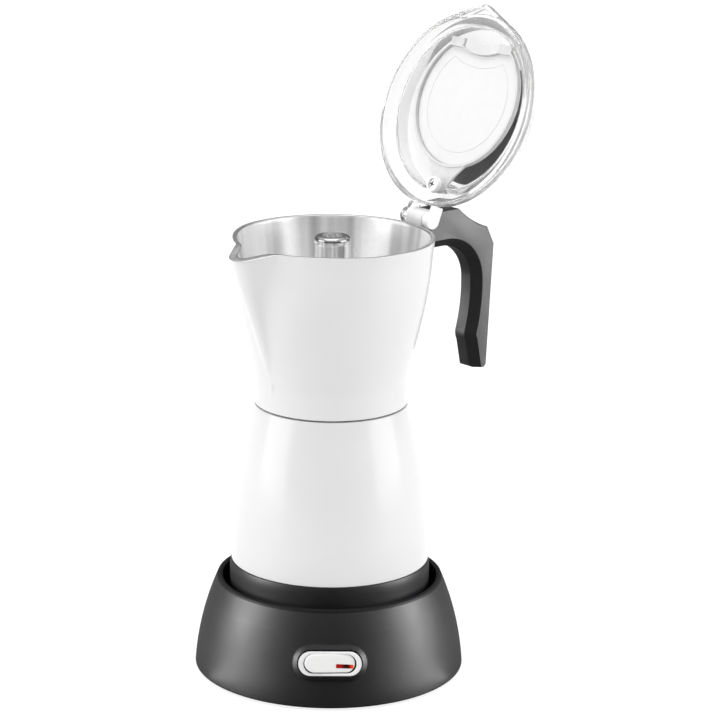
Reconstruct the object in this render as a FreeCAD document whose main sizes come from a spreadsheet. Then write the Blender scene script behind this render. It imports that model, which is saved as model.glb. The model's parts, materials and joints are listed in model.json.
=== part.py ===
import FreeCAD, Part
import math
import os
import re

import Sketcher

# Electric moka pot on its round mains base: base with rocker switch, boiler, funnel, collector and lid.
# Millimetres. The base stands on the table at z = 0 with its axis on Z and its switch towards -Y.
# Boiler, collector, handle and lid are drawn with the handle towards +X and turned together on the base.

doc = FreeCAD.newDocument("electric_moka_pot")
sheet = doc.addObject("Spreadsheet::Sheet", "sizes")
names = []
pieces = []


def size(name, value):
    """Keep one driving size, or a formula of other sizes, in the spreadsheet."""
    names.append(name)
    cell = "A%d" % len(names)
    sheet.set(cell, str(value))
    sheet.setAlias(cell, name)


def read(formula):
    """The number that a formula of sizes comes to."""
    if isinstance(formula, (int, float)):
        return float(formula)
    return float(sheet.evalExpression(formula))


def bound(formula):
    """The same formula, as another object writes it."""
    def prefixed(match):
        return "sizes." + match.group(0) if match.group(0) in names else match.group(0)
    return re.sub(r"[a-z][a-z0-9_]*", prefixed, str(formula))


# Whole pot, from the photo
size("pot_angle", 40)
size("foot_height", 1.5)

# Base
size("base_radius", 72.9)
size("base_height", 51.8)
size("base_lip_radius", 61.2)
size("base_flank_bend", 150)
size("base_wall", 2.5)
size("lip_round", 1.6)
size("well_radius", 57.6)
size("well_floor", 37.5)
size("cavity_roof", 42)
size("cavity_roof_radius", 61.8)
size("cover_thickness", 2.5)
size("cover_gap", 0.3)
size("post_circle", 63.5)
size("post_radius", 3.2)
size("post_top", 33.5)
size("base_foot_inner", 51)
size("base_foot_outer", 56)
size("base_foot_sunk", 1)
size("vent_circle", 34)
size("vent_radius", 2.2)
size("screw_head_radius", 2.6)
size("screw_head_height", 1.6)
size("screw_radius", 1.4)

# Cordless socket in the base and plug in the pot
size("socket_radius", 16.8)
size("socket_top", 45)
size("socket_flange_radius", 22)
size("socket_bottom", 31)
size("centre_hole_radius", 3.4)
size("centre_hole_floor", 36)
size("ring_groove_inner", 8)
size("ring_groove_outer", 11.6)
size("ring_groove_floor", 38)
size("contact_wall", 1)
size("plug_radius", 19.2)
size("plug_bore", 17.8)
size("plug_bottom", 39.6)
size("plug_ceiling", 46.6)
size("plug_top", 48.6)
size("plug_flange_radius", 25)
size("plug_flange_thickness", 1.8)
size("plug_pin_radius", 1.8)
size("plug_ring_inner", 9)
size("plug_ring_outer", 10.1)
size("plug_pin_bottom", 39.8)

# Rocker switch on the front of the base
size("panel_reach", 71.2)
size("panel_height", 26.3)
size("panel_lean", 16)
size("bezel_length", 39.2)
size("bezel_width", 18.8)
size("bezel_slope", 2.3)
size("frame_length", 33.5)
size("frame_width", 13.5)
size("frame_thickness", 2)
size("frame_gap", 0.4)
size("rocker_opening_length", 28.2)
size("rocker_opening_width", 10.8)
size("rocker_length", 26.6)
size("rocker_width", 9.6)
size("rocker_proud", 0.6)
size("rocker_depth", 5)
size("rocker_pivot_depth", 4)
size("rocker_pivot_radius", 1.2)
size("rocker_tilt", 6)
size("lens_length", 9.2)
size("lens_width", 2.5)
size("lens_centre_across", 7.6)
size("lens_centre_up", -0.8)
size("switch_body_length", 30.4)
size("switch_body_width", 12.4)
size("switch_body_depth", 17)
size("switch_cavity_depth", 10)

# Mains inlet at the back of the base
size("gland_height", 15)
size("gland_face", 73)
size("gland_flange_radius", 6.5)
size("gland_barrel_radius", 5)
size("gland_bore_radius", 3.2)

# Boiler and the black collar under it
size("collar_radius", 54)
size("collar_bottom", 39)
size("collar_floor_top", 41.8)
size("collar_top", 61.4)
size("collar_shoulder", 58)
size("collar_inner_radius", 51.6)
size("foot_ring_inner", 47)
size("foot_ring_outer", 51)
size("foot_ring_top", 39.9)
size("moving_gap", 0.3)
size("boiler_edge_radius", 53.3)
size("boiler_edge_height", 61.6)
size("boiler_foot_radius", 51.3)
size("boiler_foot_bottom", 57)
size("boiler_floor_underside", 60.6)
size("boiler_floor_top", 64.1)
size("boiler_bend", 380)
size("boiler_wall", 2.5)
size("seam_radius", 40.9)
size("boiler_top", 147.9)
size("neck_radius", 36.4)
size("neck_bore", 33.4)
size("neck_top", 160)
size("collar_screw_circle", 40)
size("valve_height", 104)
size("valve_boss_radius", 6.5)
size("valve_boss_face", 51.2)
size("valve_thread_radius", 4)
size("valve_face", 56.4)

# Funnel, gasket and filter plate
size("funnel_rim_radius", 35.8)
size("funnel_rim_top", 161.3)
size("funnel_radius", 32.6)
size("funnel_wall", 1)
size("funnel_cone_top", 131)
size("stem_radius", 4.6)
size("stem_bottom", 70)
size("gasket_outer", 36.2)
size("gasket_inner", 27.5)
size("gasket_top", 164.3)
size("filter_radius", 27.3)

# Collector
size("skirt_bottom", 148.8)
size("skirt_bore", 36.9)
size("skirt_top", 163.2)
size("flare_bend", 544)
size("rim_radius", 54.2)
size("rim_height", 238.7)
size("rim_thickness", 2.4)
size("rim_round", 1.1)
size("collector_underside", 164.6)
size("collector_floor", 167.4)
size("column_radius", 9.75)
size("column_wall", 0.9)
size("column_top", 235)
size("cap_top", 239.3)

# Hinge, lug and handle
size("hinge_reach", 61.7)
size("hinge_height", 240)
size("barrel_radius", 4.5)
size("lug_width", 12.6)
size("pin_radius", 1.5)
size("pin_fit", 0.08)
size("ear_thickness", 4.4)
size("ear_gap", 0.3)
size("tongue_width", 8)
size("handle_width", 17)
size("handle_chamfer", 4.8)
size("handle_top", 243.6)
size("handle_bottom", 151.2)
size("handle_underside", 223.2)
size("handle_inner", 96.9)
size("handle_outer", 109.9)
size("arch_radius", 21.6)
size("finger_bend", 170)
size("shoulder_low", 220.8)
size("handle_screw_reach", 72.2)
size("handle_screw_seat", 227)

# Lid
size("lid_angle", 111.8)
size("lid_reach", 61.9)
size("lid_radius", 54)
size("lid_bottom", -0.7)
size("lid_band_top", 4.8)
size("lid_roof_top", 21.5)
size("lid_roof_radius", 40.5)
size("lid_wall", 2.1)
size("lid_rib_inner", 45.4)
size("lid_rib_bottom", 4.6)
size("lid_rib_top", 16)
size("lid_rib_shift", 1.2)
size("lid_tip_reach", 59)
size("lid_tip_round", 4)
size("top_plate_radius", 38.5)
size("top_plate_thickness", 1.5)
size("insert_top", 9.6)
size("insert_rim", 3)
size("disc_radius", 36.4)
size("disc_shift", 6.9)
size("disc_notch_bend", 37)
size("disc_notch_half", 19.5)
size("lid_screw_shift", 42.3)
doc.recompute()

ON_POT = "placement(vector(0; 0; 0); rotation(vector(0; 0; 1); pot_angle))"
ON_PANEL = ("placement(vector(0; -panel_reach; panel_height); rotation(vector(1; 0; 0); 90 - panel_lean))")
ON_ROCKER = (ON_PANEL + " * placement(vector(0; 0; -rocker_pivot_depth); rotation(vector(0; 1; 0); rocker_tilt))"
             + " * placement(vector(0; 0; rocker_pivot_depth); rotation(vector(0; 0; 1); 0))")
ON_LID = (ON_POT + " * placement(vector(hinge_reach; 0; hinge_height); rotation(vector(0; 1; 0); lid_angle))"
          + " * placement(vector(-lid_reach; 0; 0); rotation(vector(0; 0; 1); 0))")


def vec(x, y=0.0, z=0.0):
    return FreeCAD.Vector(x, y, z)


def place(thing, where):
    """Put a piece where a placement formula says."""
    if where:
        thing.setExpression("Placement", bound(where))


def finish(thing, label, where=None):
    """Name a finished piece, place it and keep it for the export."""
    thing.Label = label
    place(thing, where)
    pieces.append(thing)
    return thing


def new_body(name):
    return doc.addObject("PartDesign::Body", name + "_body")


def new_sketch(body, plane, shift=None, turn=None):
    """An empty sketch on one of the body's own planes, moved along its normal or turned if asked."""
    sketch = body.newObject("Sketcher::SketchObject", "sketch")
    face = [item for item in body.Origin.OriginFeatures if item.Role == plane][0]
    sketch.AttachmentSupport = (face, [""])
    sketch.MapMode = "FlatFace"
    if shift or turn:
        spot = shift or "vector(0; 0; 0)"
        spin = turn or "rotation(vector(0; 0; 1); 0)"
        sketch.setExpression("AttachmentOffset", bound("placement(%s; %s)" % (spot, spin)))
    return sketch


def arc_middle(start, end, radius):
    """The middle point of the short arc from start to end; a positive radius bulges to the right."""
    chord = end - start
    half = chord.Length / 2
    rise = abs(radius) - math.sqrt(max(radius * radius - half * half, 0.0))
    side = vec(chord.y, -chord.x).normalize()
    if radius < 0:
        side = side * -1
    return (start + end) * 0.5 + side * rise


def fix(sketch, kind, item, point, formula):
    """Hold one coordinate of a point by a formula of sizes."""
    index = sketch.addConstraint(Sketcher.Constraint(kind, -1, 1, item, point, read(formula)))
    sketch.setExpression("Constraints[%d]" % index, bound(formula))


def outline(sketch, corners):
    """A closed outline through corners (across, up); a third value is the radius of the arc to the next."""
    spots = [vec(read(corner[0]), read(corner[1])) for corner in corners]
    for index, corner in enumerate(corners):
        start = spots[index]
        end = spots[(index + 1) % len(corners)]
        if len(corner) > 2:
            radius = read(corner[2])
            middle = arc_middle(start, end, radius)
            item = sketch.addGeometry(Part.Arc(start, middle, end), False)
        else:
            item = sketch.addGeometry(Part.LineSegment(start, end), False)
        first = 1 if sketch.getPoint(item, 1).distanceToPoint(start) < 1e-6 else 2
        fix(sketch, "DistanceX", item, first, corner[0])
        fix(sketch, "DistanceY", item, first, corner[1])
        corner_end = (item, 3 - first)
        if index == 0:
            opening = (item, first)
        else:
            sketch.addConstraint(Sketcher.Constraint("Coincident", before[0], before[1], item, first))
        before = corner_end
        if len(corner) > 2 and end.distanceToPoint(start) < 1.999 * abs(radius):
            index_of_radius = sketch.addConstraint(Sketcher.Constraint("Radius", item, abs(radius)))
            sketch.setExpression("Constraints[%d]" % index_of_radius, bound("abs(%s)" % corner[2]))
        elif len(corner) > 2:
            upright = abs(end.x - start.x) < abs(end.y - start.y)
            kind = "DistanceX" if upright else "DistanceY"
            fix(sketch, kind, item, 3, corner[0] if upright else corner[1])
    sketch.addConstraint(Sketcher.Constraint("Coincident", before[0], before[1], opening[0], opening[1]))


def ring(sketch, radius, across=0, up=0):
    """A full circle."""
    item = sketch.addGeometry(Part.Circle(vec(read(across), read(up)), vec(0, 0, 1), read(radius)), False)
    index = sketch.addConstraint(Sketcher.Constraint("Radius", item, read(radius)))
    sketch.setExpression("Constraints[%d]" % index, bound(radius))
    fix(sketch, "DistanceX", item, 3, across)
    fix(sketch, "DistanceY", item, 3, up)


def slot(sketch, length, width):
    """A stadium outline around the middle of the sketch."""
    along = "((%s) - (%s)) / 2" % (length, width)
    up = "(%s) / 2" % width
    outline(sketch, [
        ("-" + along, "-" + up),
        (along, "-" + up, up),
        (along, up),
        ("-" + along, up, up),
    ])


def revolve(body, sketch, cut=False):
    """Turn an outline about the body's upright axis."""
    kind = "PartDesign::Groove" if cut else "PartDesign::Revolution"
    feature = body.newObject(kind, "turned")
    feature.Profile = sketch
    feature.ReferenceAxis = (sketch, ["V_Axis"])
    feature.Angle = 360
    return feature


def extrude(body, sketch, length, cut=False, both=False, flip=False):
    """Pad or pocket a sketch by a length formula."""
    feature = body.newObject("PartDesign::Pocket" if cut else "PartDesign::Pad", "pulled")
    feature.Profile = sketch
    feature.setExpression("Length", bound(length))
    feature.Midplane = both
    feature.Reversed = flip
    return feature


def loft(body, sections, cut=False):
    """Join a row of outlines with a smooth skin."""
    feature = body.newObject("PartDesign::SubtractiveLoft" if cut else "PartDesign::AdditiveLoft", "lofted")
    feature.Profile = sections[0]
    feature.Sections = sections[1:]
    return feature


def repeat(body, feature, count):
    """Repeat a feature evenly round the body's upright axis."""
    pattern = body.newObject("PartDesign::PolarPattern", "round_the_axis")
    pattern.Originals = [feature]
    axis = [item for item in body.Origin.OriginFeatures if item.Role == "Z_Axis"][0]
    pattern.Axis = (axis, [""])
    pattern.Angle = 360
    pattern.Occurrences = count
    body.Tip = pattern
    return pattern


def bevel(body, chosen, amount, round_edge=False):
    """Round or chamfer the edges of the body that a test picks."""
    doc.recompute()
    tip = body.Tip
    edges = ["Edge%d" % (index + 1) for index, edge in enumerate(tip.Shape.Edges) if chosen(edge)]
    feature = body.newObject("PartDesign::Fillet" if round_edge else "PartDesign::Chamfer", "edges")
    feature.Base = (tip, edges)
    feature.setExpression("Radius" if round_edge else "Size", bound(amount))
    return feature


def turned(label, corners, where=None):
    """A piece turned from one outline."""
    body = new_body(label)
    sketch = new_sketch(body, "XZ_Plane")
    outline(sketch, corners)
    revolve(body, sketch)
    return finish(body, label, where)


def tube_corners(inner, outer, bottom, top):
    return [(inner, bottom), (outer, bottom), (outer, top), (inner, top)]


def cylinder(radius, height, where):
    """A plain cylinder that stands at a placement formula."""
    piece = doc.addObject("Part::Cylinder", "cylinder")
    piece.setExpression("Radius", bound(radius))
    piece.setExpression("Height", bound(height))
    place(piece, where)
    return piece


def block(length, width, height, where):
    """A plain box, its middle at the foot of the placement formula."""
    piece = doc.addObject("Part::Box", "block")
    piece.setExpression("Length", bound(length))
    piece.setExpression("Width", bound(width))
    piece.setExpression("Height", bound(height))
    middle = "placement(vector(-(%s) / 2; -(%s) / 2; 0); rotation(vector(0; 0; 1); 0))" % (length, width)
    place(piece, where + " * " + middle)
    return piece


def fused(members):
    piece = doc.addObject("Part::MultiFuse", "fused")
    piece.Shapes = members
    return piece


def group(label, members, where=None):
    """Several separate solids that share one node."""
    piece = doc.addObject("Part::Compound", "group")
    piece.Links = members
    return finish(piece, label, where)


def spot(across, deep, up, turn="rotation(vector(0; 0; 1); 0)"):
    return "placement(vector(%s; %s; %s); %s)" % (across, deep, up, turn)


def wires(label, routes, radius, where=None):
    """Insulated leads, each one tube along its own smooth route."""
    tubes = []
    for route in routes:
        curve = Part.BSplineCurve()
        curve.interpolate([vec(*point) for point in route])
        path = Part.Wire(curve.toShape())
        start = curve.tangent(curve.FirstParameter)[0]
        profile = Part.Wire(Part.makeCircle(radius, vec(*route[0]), start))
        tubes.append(path.makePipeShell([profile], True, False))
    piece = doc.addObject("Part::Feature", label + "_tubes")
    piece.Shape = Part.makeCompound(tubes)
    return finish(piece, label, where)


def on_circle(radius, angle_step, index, start=0):
    """A placement formula for one of several spots on a circle, at height nought."""
    angle = "%g" % (start + angle_step * index)
    return "placement(vector(0; 0; 0); rotation(vector(0; 0; 1); %s)) * placement(vector(%s; 0; 0); " \
           "rotation(vector(0; 0; 1); 0))" % (angle, radius)


def screws(label, spots, head_bottom, length, where=None):
    """Pan-head screws driven upwards, one for each spot."""
    members = []
    for place_of in spots:
        head = cylinder("screw_head_radius", "screw_head_height", place_of + " * " + spot(0, 0, head_bottom))
        shank_foot = "(%s) + screw_head_height" % head_bottom
        shank = cylinder("screw_radius", length, place_of + " * " + spot(0, 0, shank_foot))
        members.append(fused([head, shank]))
    return group(label, members, where)


# Base

def base_shell():
    """Moulded shell: rounded flank, lip, well for the pot, bezel for the switch and posts for the cover."""
    body = new_body("base_shell")
    skin = new_sketch(body, "XZ_Plane")
    outline(skin, [
        ("base_radius - base_wall", "foot_height"),
        ("base_radius", "foot_height", "base_flank_bend"),
        ("base_lip_radius", "base_height - lip_round", "lip_round"),
        ("base_lip_radius - lip_round", "base_height"),
        ("well_radius + lip_round", "base_height", "lip_round"),
        ("well_radius", "base_height - lip_round"),
        ("well_radius", "well_floor"),
        ("socket_radius + 0.2", "well_floor"),
        ("socket_radius + 0.2", "well_floor - base_wall"),
        ("well_radius + base_wall - 0.1", "well_floor - base_wall"),
        ("well_radius + base_wall - 0.1", "cavity_roof"),
        ("cavity_roof_radius", "cavity_roof", "base_wall - base_flank_bend"),
    ])
    revolve(body, skin)

    post = new_sketch(body, "XY_Plane", shift="vector(0; 0; foot_height + cover_thickness)")
    ring(post, "post_radius", "post_circle * cos(45)", "post_circle * sin(45)")
    posts = extrude(body, post, "post_top - foot_height - cover_thickness")
    repeat(body, posts, 4)
    pilot = new_sketch(body, "XY_Plane", shift="vector(0; 0; foot_height + cover_thickness)")
    ring(pilot, "screw_radius", "post_circle * cos(45)", "post_circle * sin(45)")
    pilots = extrude(body, pilot, "9", cut=True, flip=True)
    repeat(body, pilots, 4)

    front = panel_sketch(body, "0")
    slot(front, "bezel_length - bezel_slope * 2", "bezel_width - bezel_slope * 2")
    behind = panel_sketch(body, "bezel_slope")
    slot(behind, "bezel_length", "bezel_width")
    loft(body, [front, behind])
    root = panel_sketch(body, "bezel_slope")
    slot(root, "bezel_length", "bezel_width")
    extrude(body, root, "base_wall", flip=True)
    recess = panel_sketch(body, "0")
    slot(recess, "frame_length + frame_gap * 2", "frame_width + frame_gap * 2")
    extrude(body, recess, "frame_thickness", cut=True)
    opening = panel_sketch(body, "0")
    slot(opening, "switch_body_length + frame_gap", "switch_body_width + frame_gap")
    extrude(body, opening, "base_wall * 4", cut=True)

    pad = new_sketch(body, "XZ_Plane", shift="vector(0; 0; -gland_face)")
    ring(pad, "gland_flange_radius + 1.5", 0, "gland_height")
    extrude(body, pad, "base_wall * 2")
    hole = new_sketch(body, "XZ_Plane", shift="vector(0; 0; -gland_face)")
    ring(hole, "gland_barrel_radius", 0, "gland_height")
    extrude(body, hole, "base_wall * 3", cut=True, flip=True)
    return finish(body, "base_shell")


def panel_sketch(body, depth):
    """An empty sketch parallel to the leaning switch panel, some way behind its face."""
    return new_sketch(body, "XZ_Plane", turn="rotation(vector(1; 0; 0); -panel_lean)",
                      shift="vector(0; panel_height - (%s) * sin(panel_lean); panel_reach - (%s) * cos(panel_lean))"
                      % (depth, depth))


def base_underside():
    """Bottom cover with its vents, the rubber ring that it stands on and the four screws."""
    body = new_body("base_bottom_cover")
    plate = new_sketch(body, "XY_Plane", shift="vector(0; 0; foot_height)")
    ring(plate, "base_radius - base_wall - cover_gap")
    extrude(body, plate, "cover_thickness")
    sink = new_sketch(body, "XY_Plane", shift="vector(0; 0; foot_height)")
    ring(sink, "screw_head_radius + 0.3", "post_circle * cos(45)", "post_circle * sin(45)")
    sunk = extrude(body, sink, "screw_head_height + 0.1", cut=True, flip=True)
    repeat(body, sunk, 4)
    bore = new_sketch(body, "XY_Plane", shift="vector(0; 0; foot_height)")
    ring(bore, "screw_radius + 0.1", "post_circle * cos(45)", "post_circle * sin(45)")
    bored = extrude(body, bore, "cover_thickness", cut=True, flip=True)
    repeat(body, bored, 4)
    nest = new_sketch(body, "XY_Plane", shift="vector(0; 0; foot_height)")
    ring(nest, "base_foot_inner - 0.1")
    ring(nest, "base_foot_outer + 0.1")
    extrude(body, nest, "base_foot_sunk", cut=True, flip=True)
    vent = new_sketch(body, "XY_Plane", shift="vector(0; 0; foot_height)")
    ring(vent, "vent_radius", "vent_circle", 0)
    vents = extrude(body, vent, "cover_thickness", cut=True, flip=True)
    repeat(body, vents, 8)
    finish(body, "base_bottom_cover")

    turned("base_foot_ring", tube_corners("base_foot_inner", "base_foot_outer", "0", "foot_height + base_foot_sunk"))
    spots = [on_circle("post_circle", 90, index, 45) for index in range(4)]
    screws("base_cover_screws", spots, "foot_height + 0.1", "8")


def base_socket():
    """Round cordless socket that stands up through the floor of the well, and its brass contacts."""
    turned("base_socket", [
        (0, "socket_bottom"),
        ("socket_flange_radius", "socket_bottom"),
        ("socket_flange_radius", "well_floor - base_wall"),
        ("socket_radius", "well_floor - base_wall"),
        ("socket_radius", "socket_top"),
        ("ring_groove_outer", "socket_top"),
        ("ring_groove_outer", "ring_groove_floor"),
        ("ring_groove_inner", "ring_groove_floor"),
        ("ring_groove_inner", "socket_top"),
        ("centre_hole_radius", "socket_top"),
        ("centre_hole_radius", "centre_hole_floor"),
        (0, "centre_hole_floor"),
    ])
    sleeve = contact_ring("centre_hole_radius", "centre_hole_floor", "6")
    band = contact_ring("ring_groove_outer", "ring_groove_floor", "5")
    group("socket_contacts", [sleeve, band])


def contact_ring(radius, bottom, height):
    """A brass ring, as thick as a contact, with its outside at a radius."""
    outer = cylinder(radius, height, spot(0, 0, bottom))
    inner = cylinder("%s - contact_wall" % radius, height, spot(0, 0, bottom))
    piece = doc.addObject("Part::Cut", "contact")
    piece.Base = outer
    piece.Tool = inner
    return piece


def rocker_switch():
    """White frame, body behind it with its terminals, and the tilting rocker with its lens."""
    body = new_body("rocker_frame")
    face = new_sketch(body, "XY_Plane")
    slot(face, "frame_length", "frame_width")
    extrude(body, face, "frame_thickness", flip=True)
    bevel(body, lambda edge: abs(edge.BoundBox.ZMin) < 0.01, "0.6", round_edge=True)
    opening = new_sketch(body, "XY_Plane")
    slot(opening, "rocker_opening_length", "rocker_opening_width")
    extrude(body, opening, "frame_thickness * 2", cut=True, both=True)
    finish(body, "rocker_frame", ON_PANEL)

    body = new_body("switch_body")
    shell = new_sketch(body, "XY_Plane", shift="vector(0; 0; -frame_thickness)")
    slot(shell, "switch_body_length", "switch_body_width")
    extrude(body, shell, "switch_body_depth - frame_thickness", flip=True)
    cavity = new_sketch(body, "XY_Plane", shift="vector(0; 0; -frame_thickness)")
    slot(cavity, "rocker_opening_length", "rocker_opening_width")
    extrude(body, cavity, "switch_cavity_depth - frame_thickness", cut=True)
    pivots = new_sketch(body, "XZ_Plane")
    ring(pivots, "rocker_pivot_radius + 0.06", 0, "-rocker_pivot_depth")
    extrude(body, pivots, "switch_body_width * 2", cut=True, both=True)
    finish(body, "switch_body", ON_PANEL)

    blades = []
    for across in (-9, 0, 9):
        blades.append(block("4.8", "0.8", "6", spot(across, 0, "-switch_body_depth - 6")))
    group("switch_terminals", blades, ON_PANEL)

    body = new_body("rocker_button")
    face = new_sketch(body, "XY_Plane", shift="vector(0; 0; rocker_proud)")
    slot(face, "rocker_length", "rocker_width")
    extrude(body, face, "rocker_proud + rocker_depth", flip=True)
    bevel(body, lambda edge: abs(edge.BoundBox.ZMin - read("rocker_proud")) < 0.01, "0.7", round_edge=True)
    pivots = new_sketch(body, "XZ_Plane")
    ring(pivots, "rocker_pivot_radius", 0, "-rocker_pivot_depth")
    extrude(body, pivots, "switch_body_width - 0.6", both=True)
    window = new_sketch(body, "XY_Plane", shift="vector(0; 0; rocker_proud)")
    box_outline(window, "lens_centre_across", "lens_centre_up", "lens_length", "lens_width")
    extrude(body, window, "1.6", cut=True)
    finish(body, "rocker_button", ON_ROCKER)

    body = new_body("rocker_lens")
    face = new_sketch(body, "XY_Plane", shift="vector(0; 0; rocker_proud + 0.05)")
    box_outline(face, "lens_centre_across", "lens_centre_up", "lens_length", "lens_width")
    extrude(body, face, "1.6", flip=True)
    finish(body, "rocker_lens", ON_ROCKER)


def box_outline(sketch, across, up, length, width):
    """A rectangle about a centre."""
    left = "%s - (%s) / 2" % (across, length)
    right = "%s + (%s) / 2" % (across, length)
    low = "%s - (%s) / 2" % (up, width)
    high = "%s + (%s) / 2" % (up, width)
    outline(sketch, [(left, low), (right, low), (right, high), (left, high)])


def mains_inlet():
    """Gland in the back wall, the terminal block inside and the leads to switch and socket."""
    body = new_body("cord_gland")
    wall = new_sketch(body, "XZ_Plane")
    outline(wall, [
        ("gland_bore_radius", 0),
        ("gland_flange_radius", 0),
        ("gland_flange_radius", 1.5),
        ("gland_barrel_radius", 1.5),
        ("gland_barrel_radius", 8.6),
        ("gland_bore_radius", 8.6),
    ])
    revolve(body, wall)
    stand = spot(0, "gland_face + 1.5", "gland_height", "rotation(vector(1; 0; 0); 90)")
    finish(body, "cord_gland", stand)

    base_block = block("20", "9", "8", spot(0, 47, "foot_height + cover_thickness"))
    finish(base_block, "terminal_block")
    routes = [
        [(-6, 42.3, 9), (-6, 39, 9), (-14, 30, 11), (-26, 0, 10), (-20, -30, 12), (-9, -42, 18), (-9, -48, 19.2)],
        [(0, -48, 19.2), (0, -42, 17.8), (3, -28, 12), (8, -16, 18), (8, -12, 26), (8, -12, 30.5)],
        [(6, 42.3, 9), (6, 39, 9), (7, 30, 13), (2, 18, 19), (-8, 10, 26), (-8, 10, 30.5)],
    ]
    wires("base_leads", routes, 1.1)


# Pot

def boiler():
    """Aluminium boiler: swelling wall, step for the collar, threaded neck, valve boss and screw bosses."""
    body = new_body("boiler")
    wall = new_sketch(body, "XZ_Plane")
    outline(wall, [
        (0, "boiler_floor_underside"),
        ("boiler_foot_radius - 6", "boiler_floor_underside"),
        ("boiler_foot_radius - 6", "boiler_foot_bottom"),
        ("boiler_foot_radius", "boiler_foot_bottom"),
        ("boiler_foot_radius", "boiler_edge_height"),
        ("boiler_edge_radius", "boiler_edge_height", "boiler_bend"),
        ("seam_radius", "boiler_top"),
        ("neck_radius", "boiler_top"),
        ("neck_radius", "neck_top - 1"),
        ("neck_radius - 1", "neck_top"),
        ("neck_bore", "neck_top"),
        ("neck_bore", "boiler_top - 0.4"),
        ("seam_radius - boiler_wall", "boiler_top - 5", "boiler_wall - boiler_bend"),
        ("boiler_edge_radius - boiler_wall - 0.2", "boiler_floor_top + boiler_wall"),
        ("boiler_edge_radius - boiler_wall - 2.7", "boiler_floor_top"),
        (0, "boiler_floor_top"),
    ])
    revolve(body, wall)

    boss = new_sketch(body, "XY_Plane", shift="vector(0; 0; collar_floor_top)")
    ring(boss, "3.6", "collar_screw_circle", 0)
    bosses = extrude(body, boss, "boiler_floor_underside - collar_floor_top + 0.5")
    repeat(body, bosses, 3)

    seat = new_sketch(body, "XZ_Plane", shift="vector(0; 0; -valve_boss_face)")
    ring(seat, "valve_boss_radius", 0, "valve_height")
    extrude(body, seat, "boiler_wall * 2")
    bore = new_sketch(body, "XZ_Plane", shift="vector(0; 0; -valve_boss_face - 1)")
    ring(bore, "valve_thread_radius", 0, "valve_height")
    extrude(body, bore, "boiler_wall * 4", cut=True, flip=True)
    return finish(body, "boiler", ON_POT)


def heater():
    """Heater plate with its ring element, thermostat and fuse under the boiler."""
    turned("heater_plate", [
        (0, "boiler_floor_underside - 4"),
        ("boiler_foot_radius - 9", "boiler_floor_underside - 4"),
        ("boiler_foot_radius - 9", "boiler_floor_underside"),
        (0, "boiler_floor_underside"),
    ], ON_POT)
    cut_for_bosses = pieces[-1]
    for index in range(3):
        cut_notch(cut_for_bosses, index)

    coil = doc.addObject("Part::Torus", "coil")
    coil.Radius1 = 30
    coil.Radius2 = 3.2
    coil.Angle3 = 310
    place(coil, spot(0, 0, "boiler_floor_underside - 7.2", "rotation(vector(0; 0; 1); 205)"))
    ends = []
    for angle in (205, 155):
        for radius, drop, length in (("3.2", 12, "4.8"), ("1", 15, "4")):
            stand = "placement(vector(0; 0; 0); rotation(vector(0; 0; 1); %d)) * %s" % (
                angle, spot(30, 0, "boiler_floor_underside - %d" % drop))
            ends.append(cylinder(radius, length, stand))
    finish(fused([coil] + ends), "heating_element", ON_POT)

    cup = cylinder("8.5", "5", spot(0, 0, "boiler_floor_underside - 9.2"))
    flange = cylinder("11", "1", spot(0, 0, "boiler_floor_underside - 5"))
    finish(fused([cup, flange]), "thermostat", ON_POT)
    lying = "rotation(vector(0; 1; 0); 90)"
    beside = ON_POT + " * " + spot(-7, -18, "boiler_floor_underside - 5.9", lying)
    finish(cylinder("1.8", "14", beside), "thermal_fuse")


def cut_notch(body, index):
    """Clear one screw boss of the boiler out of the heater plate."""
    notch = new_sketch(body, "XY_Plane", shift="vector(0; 0; boiler_floor_underside)",
                       turn="rotation(vector(0; 0; 1); %d)" % (index * 120))
    ring(notch, "4.4", "collar_screw_circle", 0)
    extrude(body, notch, "6", cut=True)


def collar():
    """Black collar that closes the underside, with its screws and the ring that the pot stands on."""
    body = new_body("pot_collar")
    wall = new_sketch(body, "XZ_Plane")
    outline(wall, [
        ("plug_radius + 0.3", "collar_bottom"),
        ("foot_ring_inner - 0.4", "collar_bottom"),
        ("foot_ring_inner - 0.4", "foot_ring_top + moving_gap"),
        ("foot_ring_outer + 0.4", "foot_ring_top + moving_gap"),
        ("foot_ring_outer + 0.4", "collar_bottom"),
        ("collar_radius - 1", "collar_bottom"),
        ("collar_radius", "collar_bottom + 1"),
        ("collar_radius", "collar_shoulder", 20),
        ("collar_radius - 0.6", "collar_top"),
        ("collar_inner_radius", "collar_top"),
        ("collar_inner_radius", "collar_floor_top"),
        ("plug_radius + 0.3", "collar_floor_top"),
    ])
    revolve(body, wall)
    sink = new_sketch(body, "XY_Plane", shift="vector(0; 0; collar_bottom)")
    ring(sink, "screw_head_radius + 0.2", "collar_screw_circle", 0)
    sunk = extrude(body, sink, "screw_head_height", cut=True, flip=True)
    repeat(body, sunk, 3)
    bore = new_sketch(body, "XY_Plane", shift="vector(0; 0; collar_bottom)")
    ring(bore, "screw_radius + 0.1", "collar_screw_circle", 0)
    bored = extrude(body, bore, "collar_floor_top - collar_bottom", cut=True, flip=True)
    repeat(body, bored, 3)
    finish(body, "pot_collar", ON_POT)

    spots = [on_circle("collar_screw_circle", 120, index) for index in range(3)]
    screws("collar_screws", spots, "collar_bottom", "collar_floor_top - collar_bottom - screw_head_height", ON_POT)
    turned("pot_foot_ring", tube_corners("foot_ring_inner", "foot_ring_outer",
                                         "well_floor + moving_gap", "foot_ring_top"), ON_POT)


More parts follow.
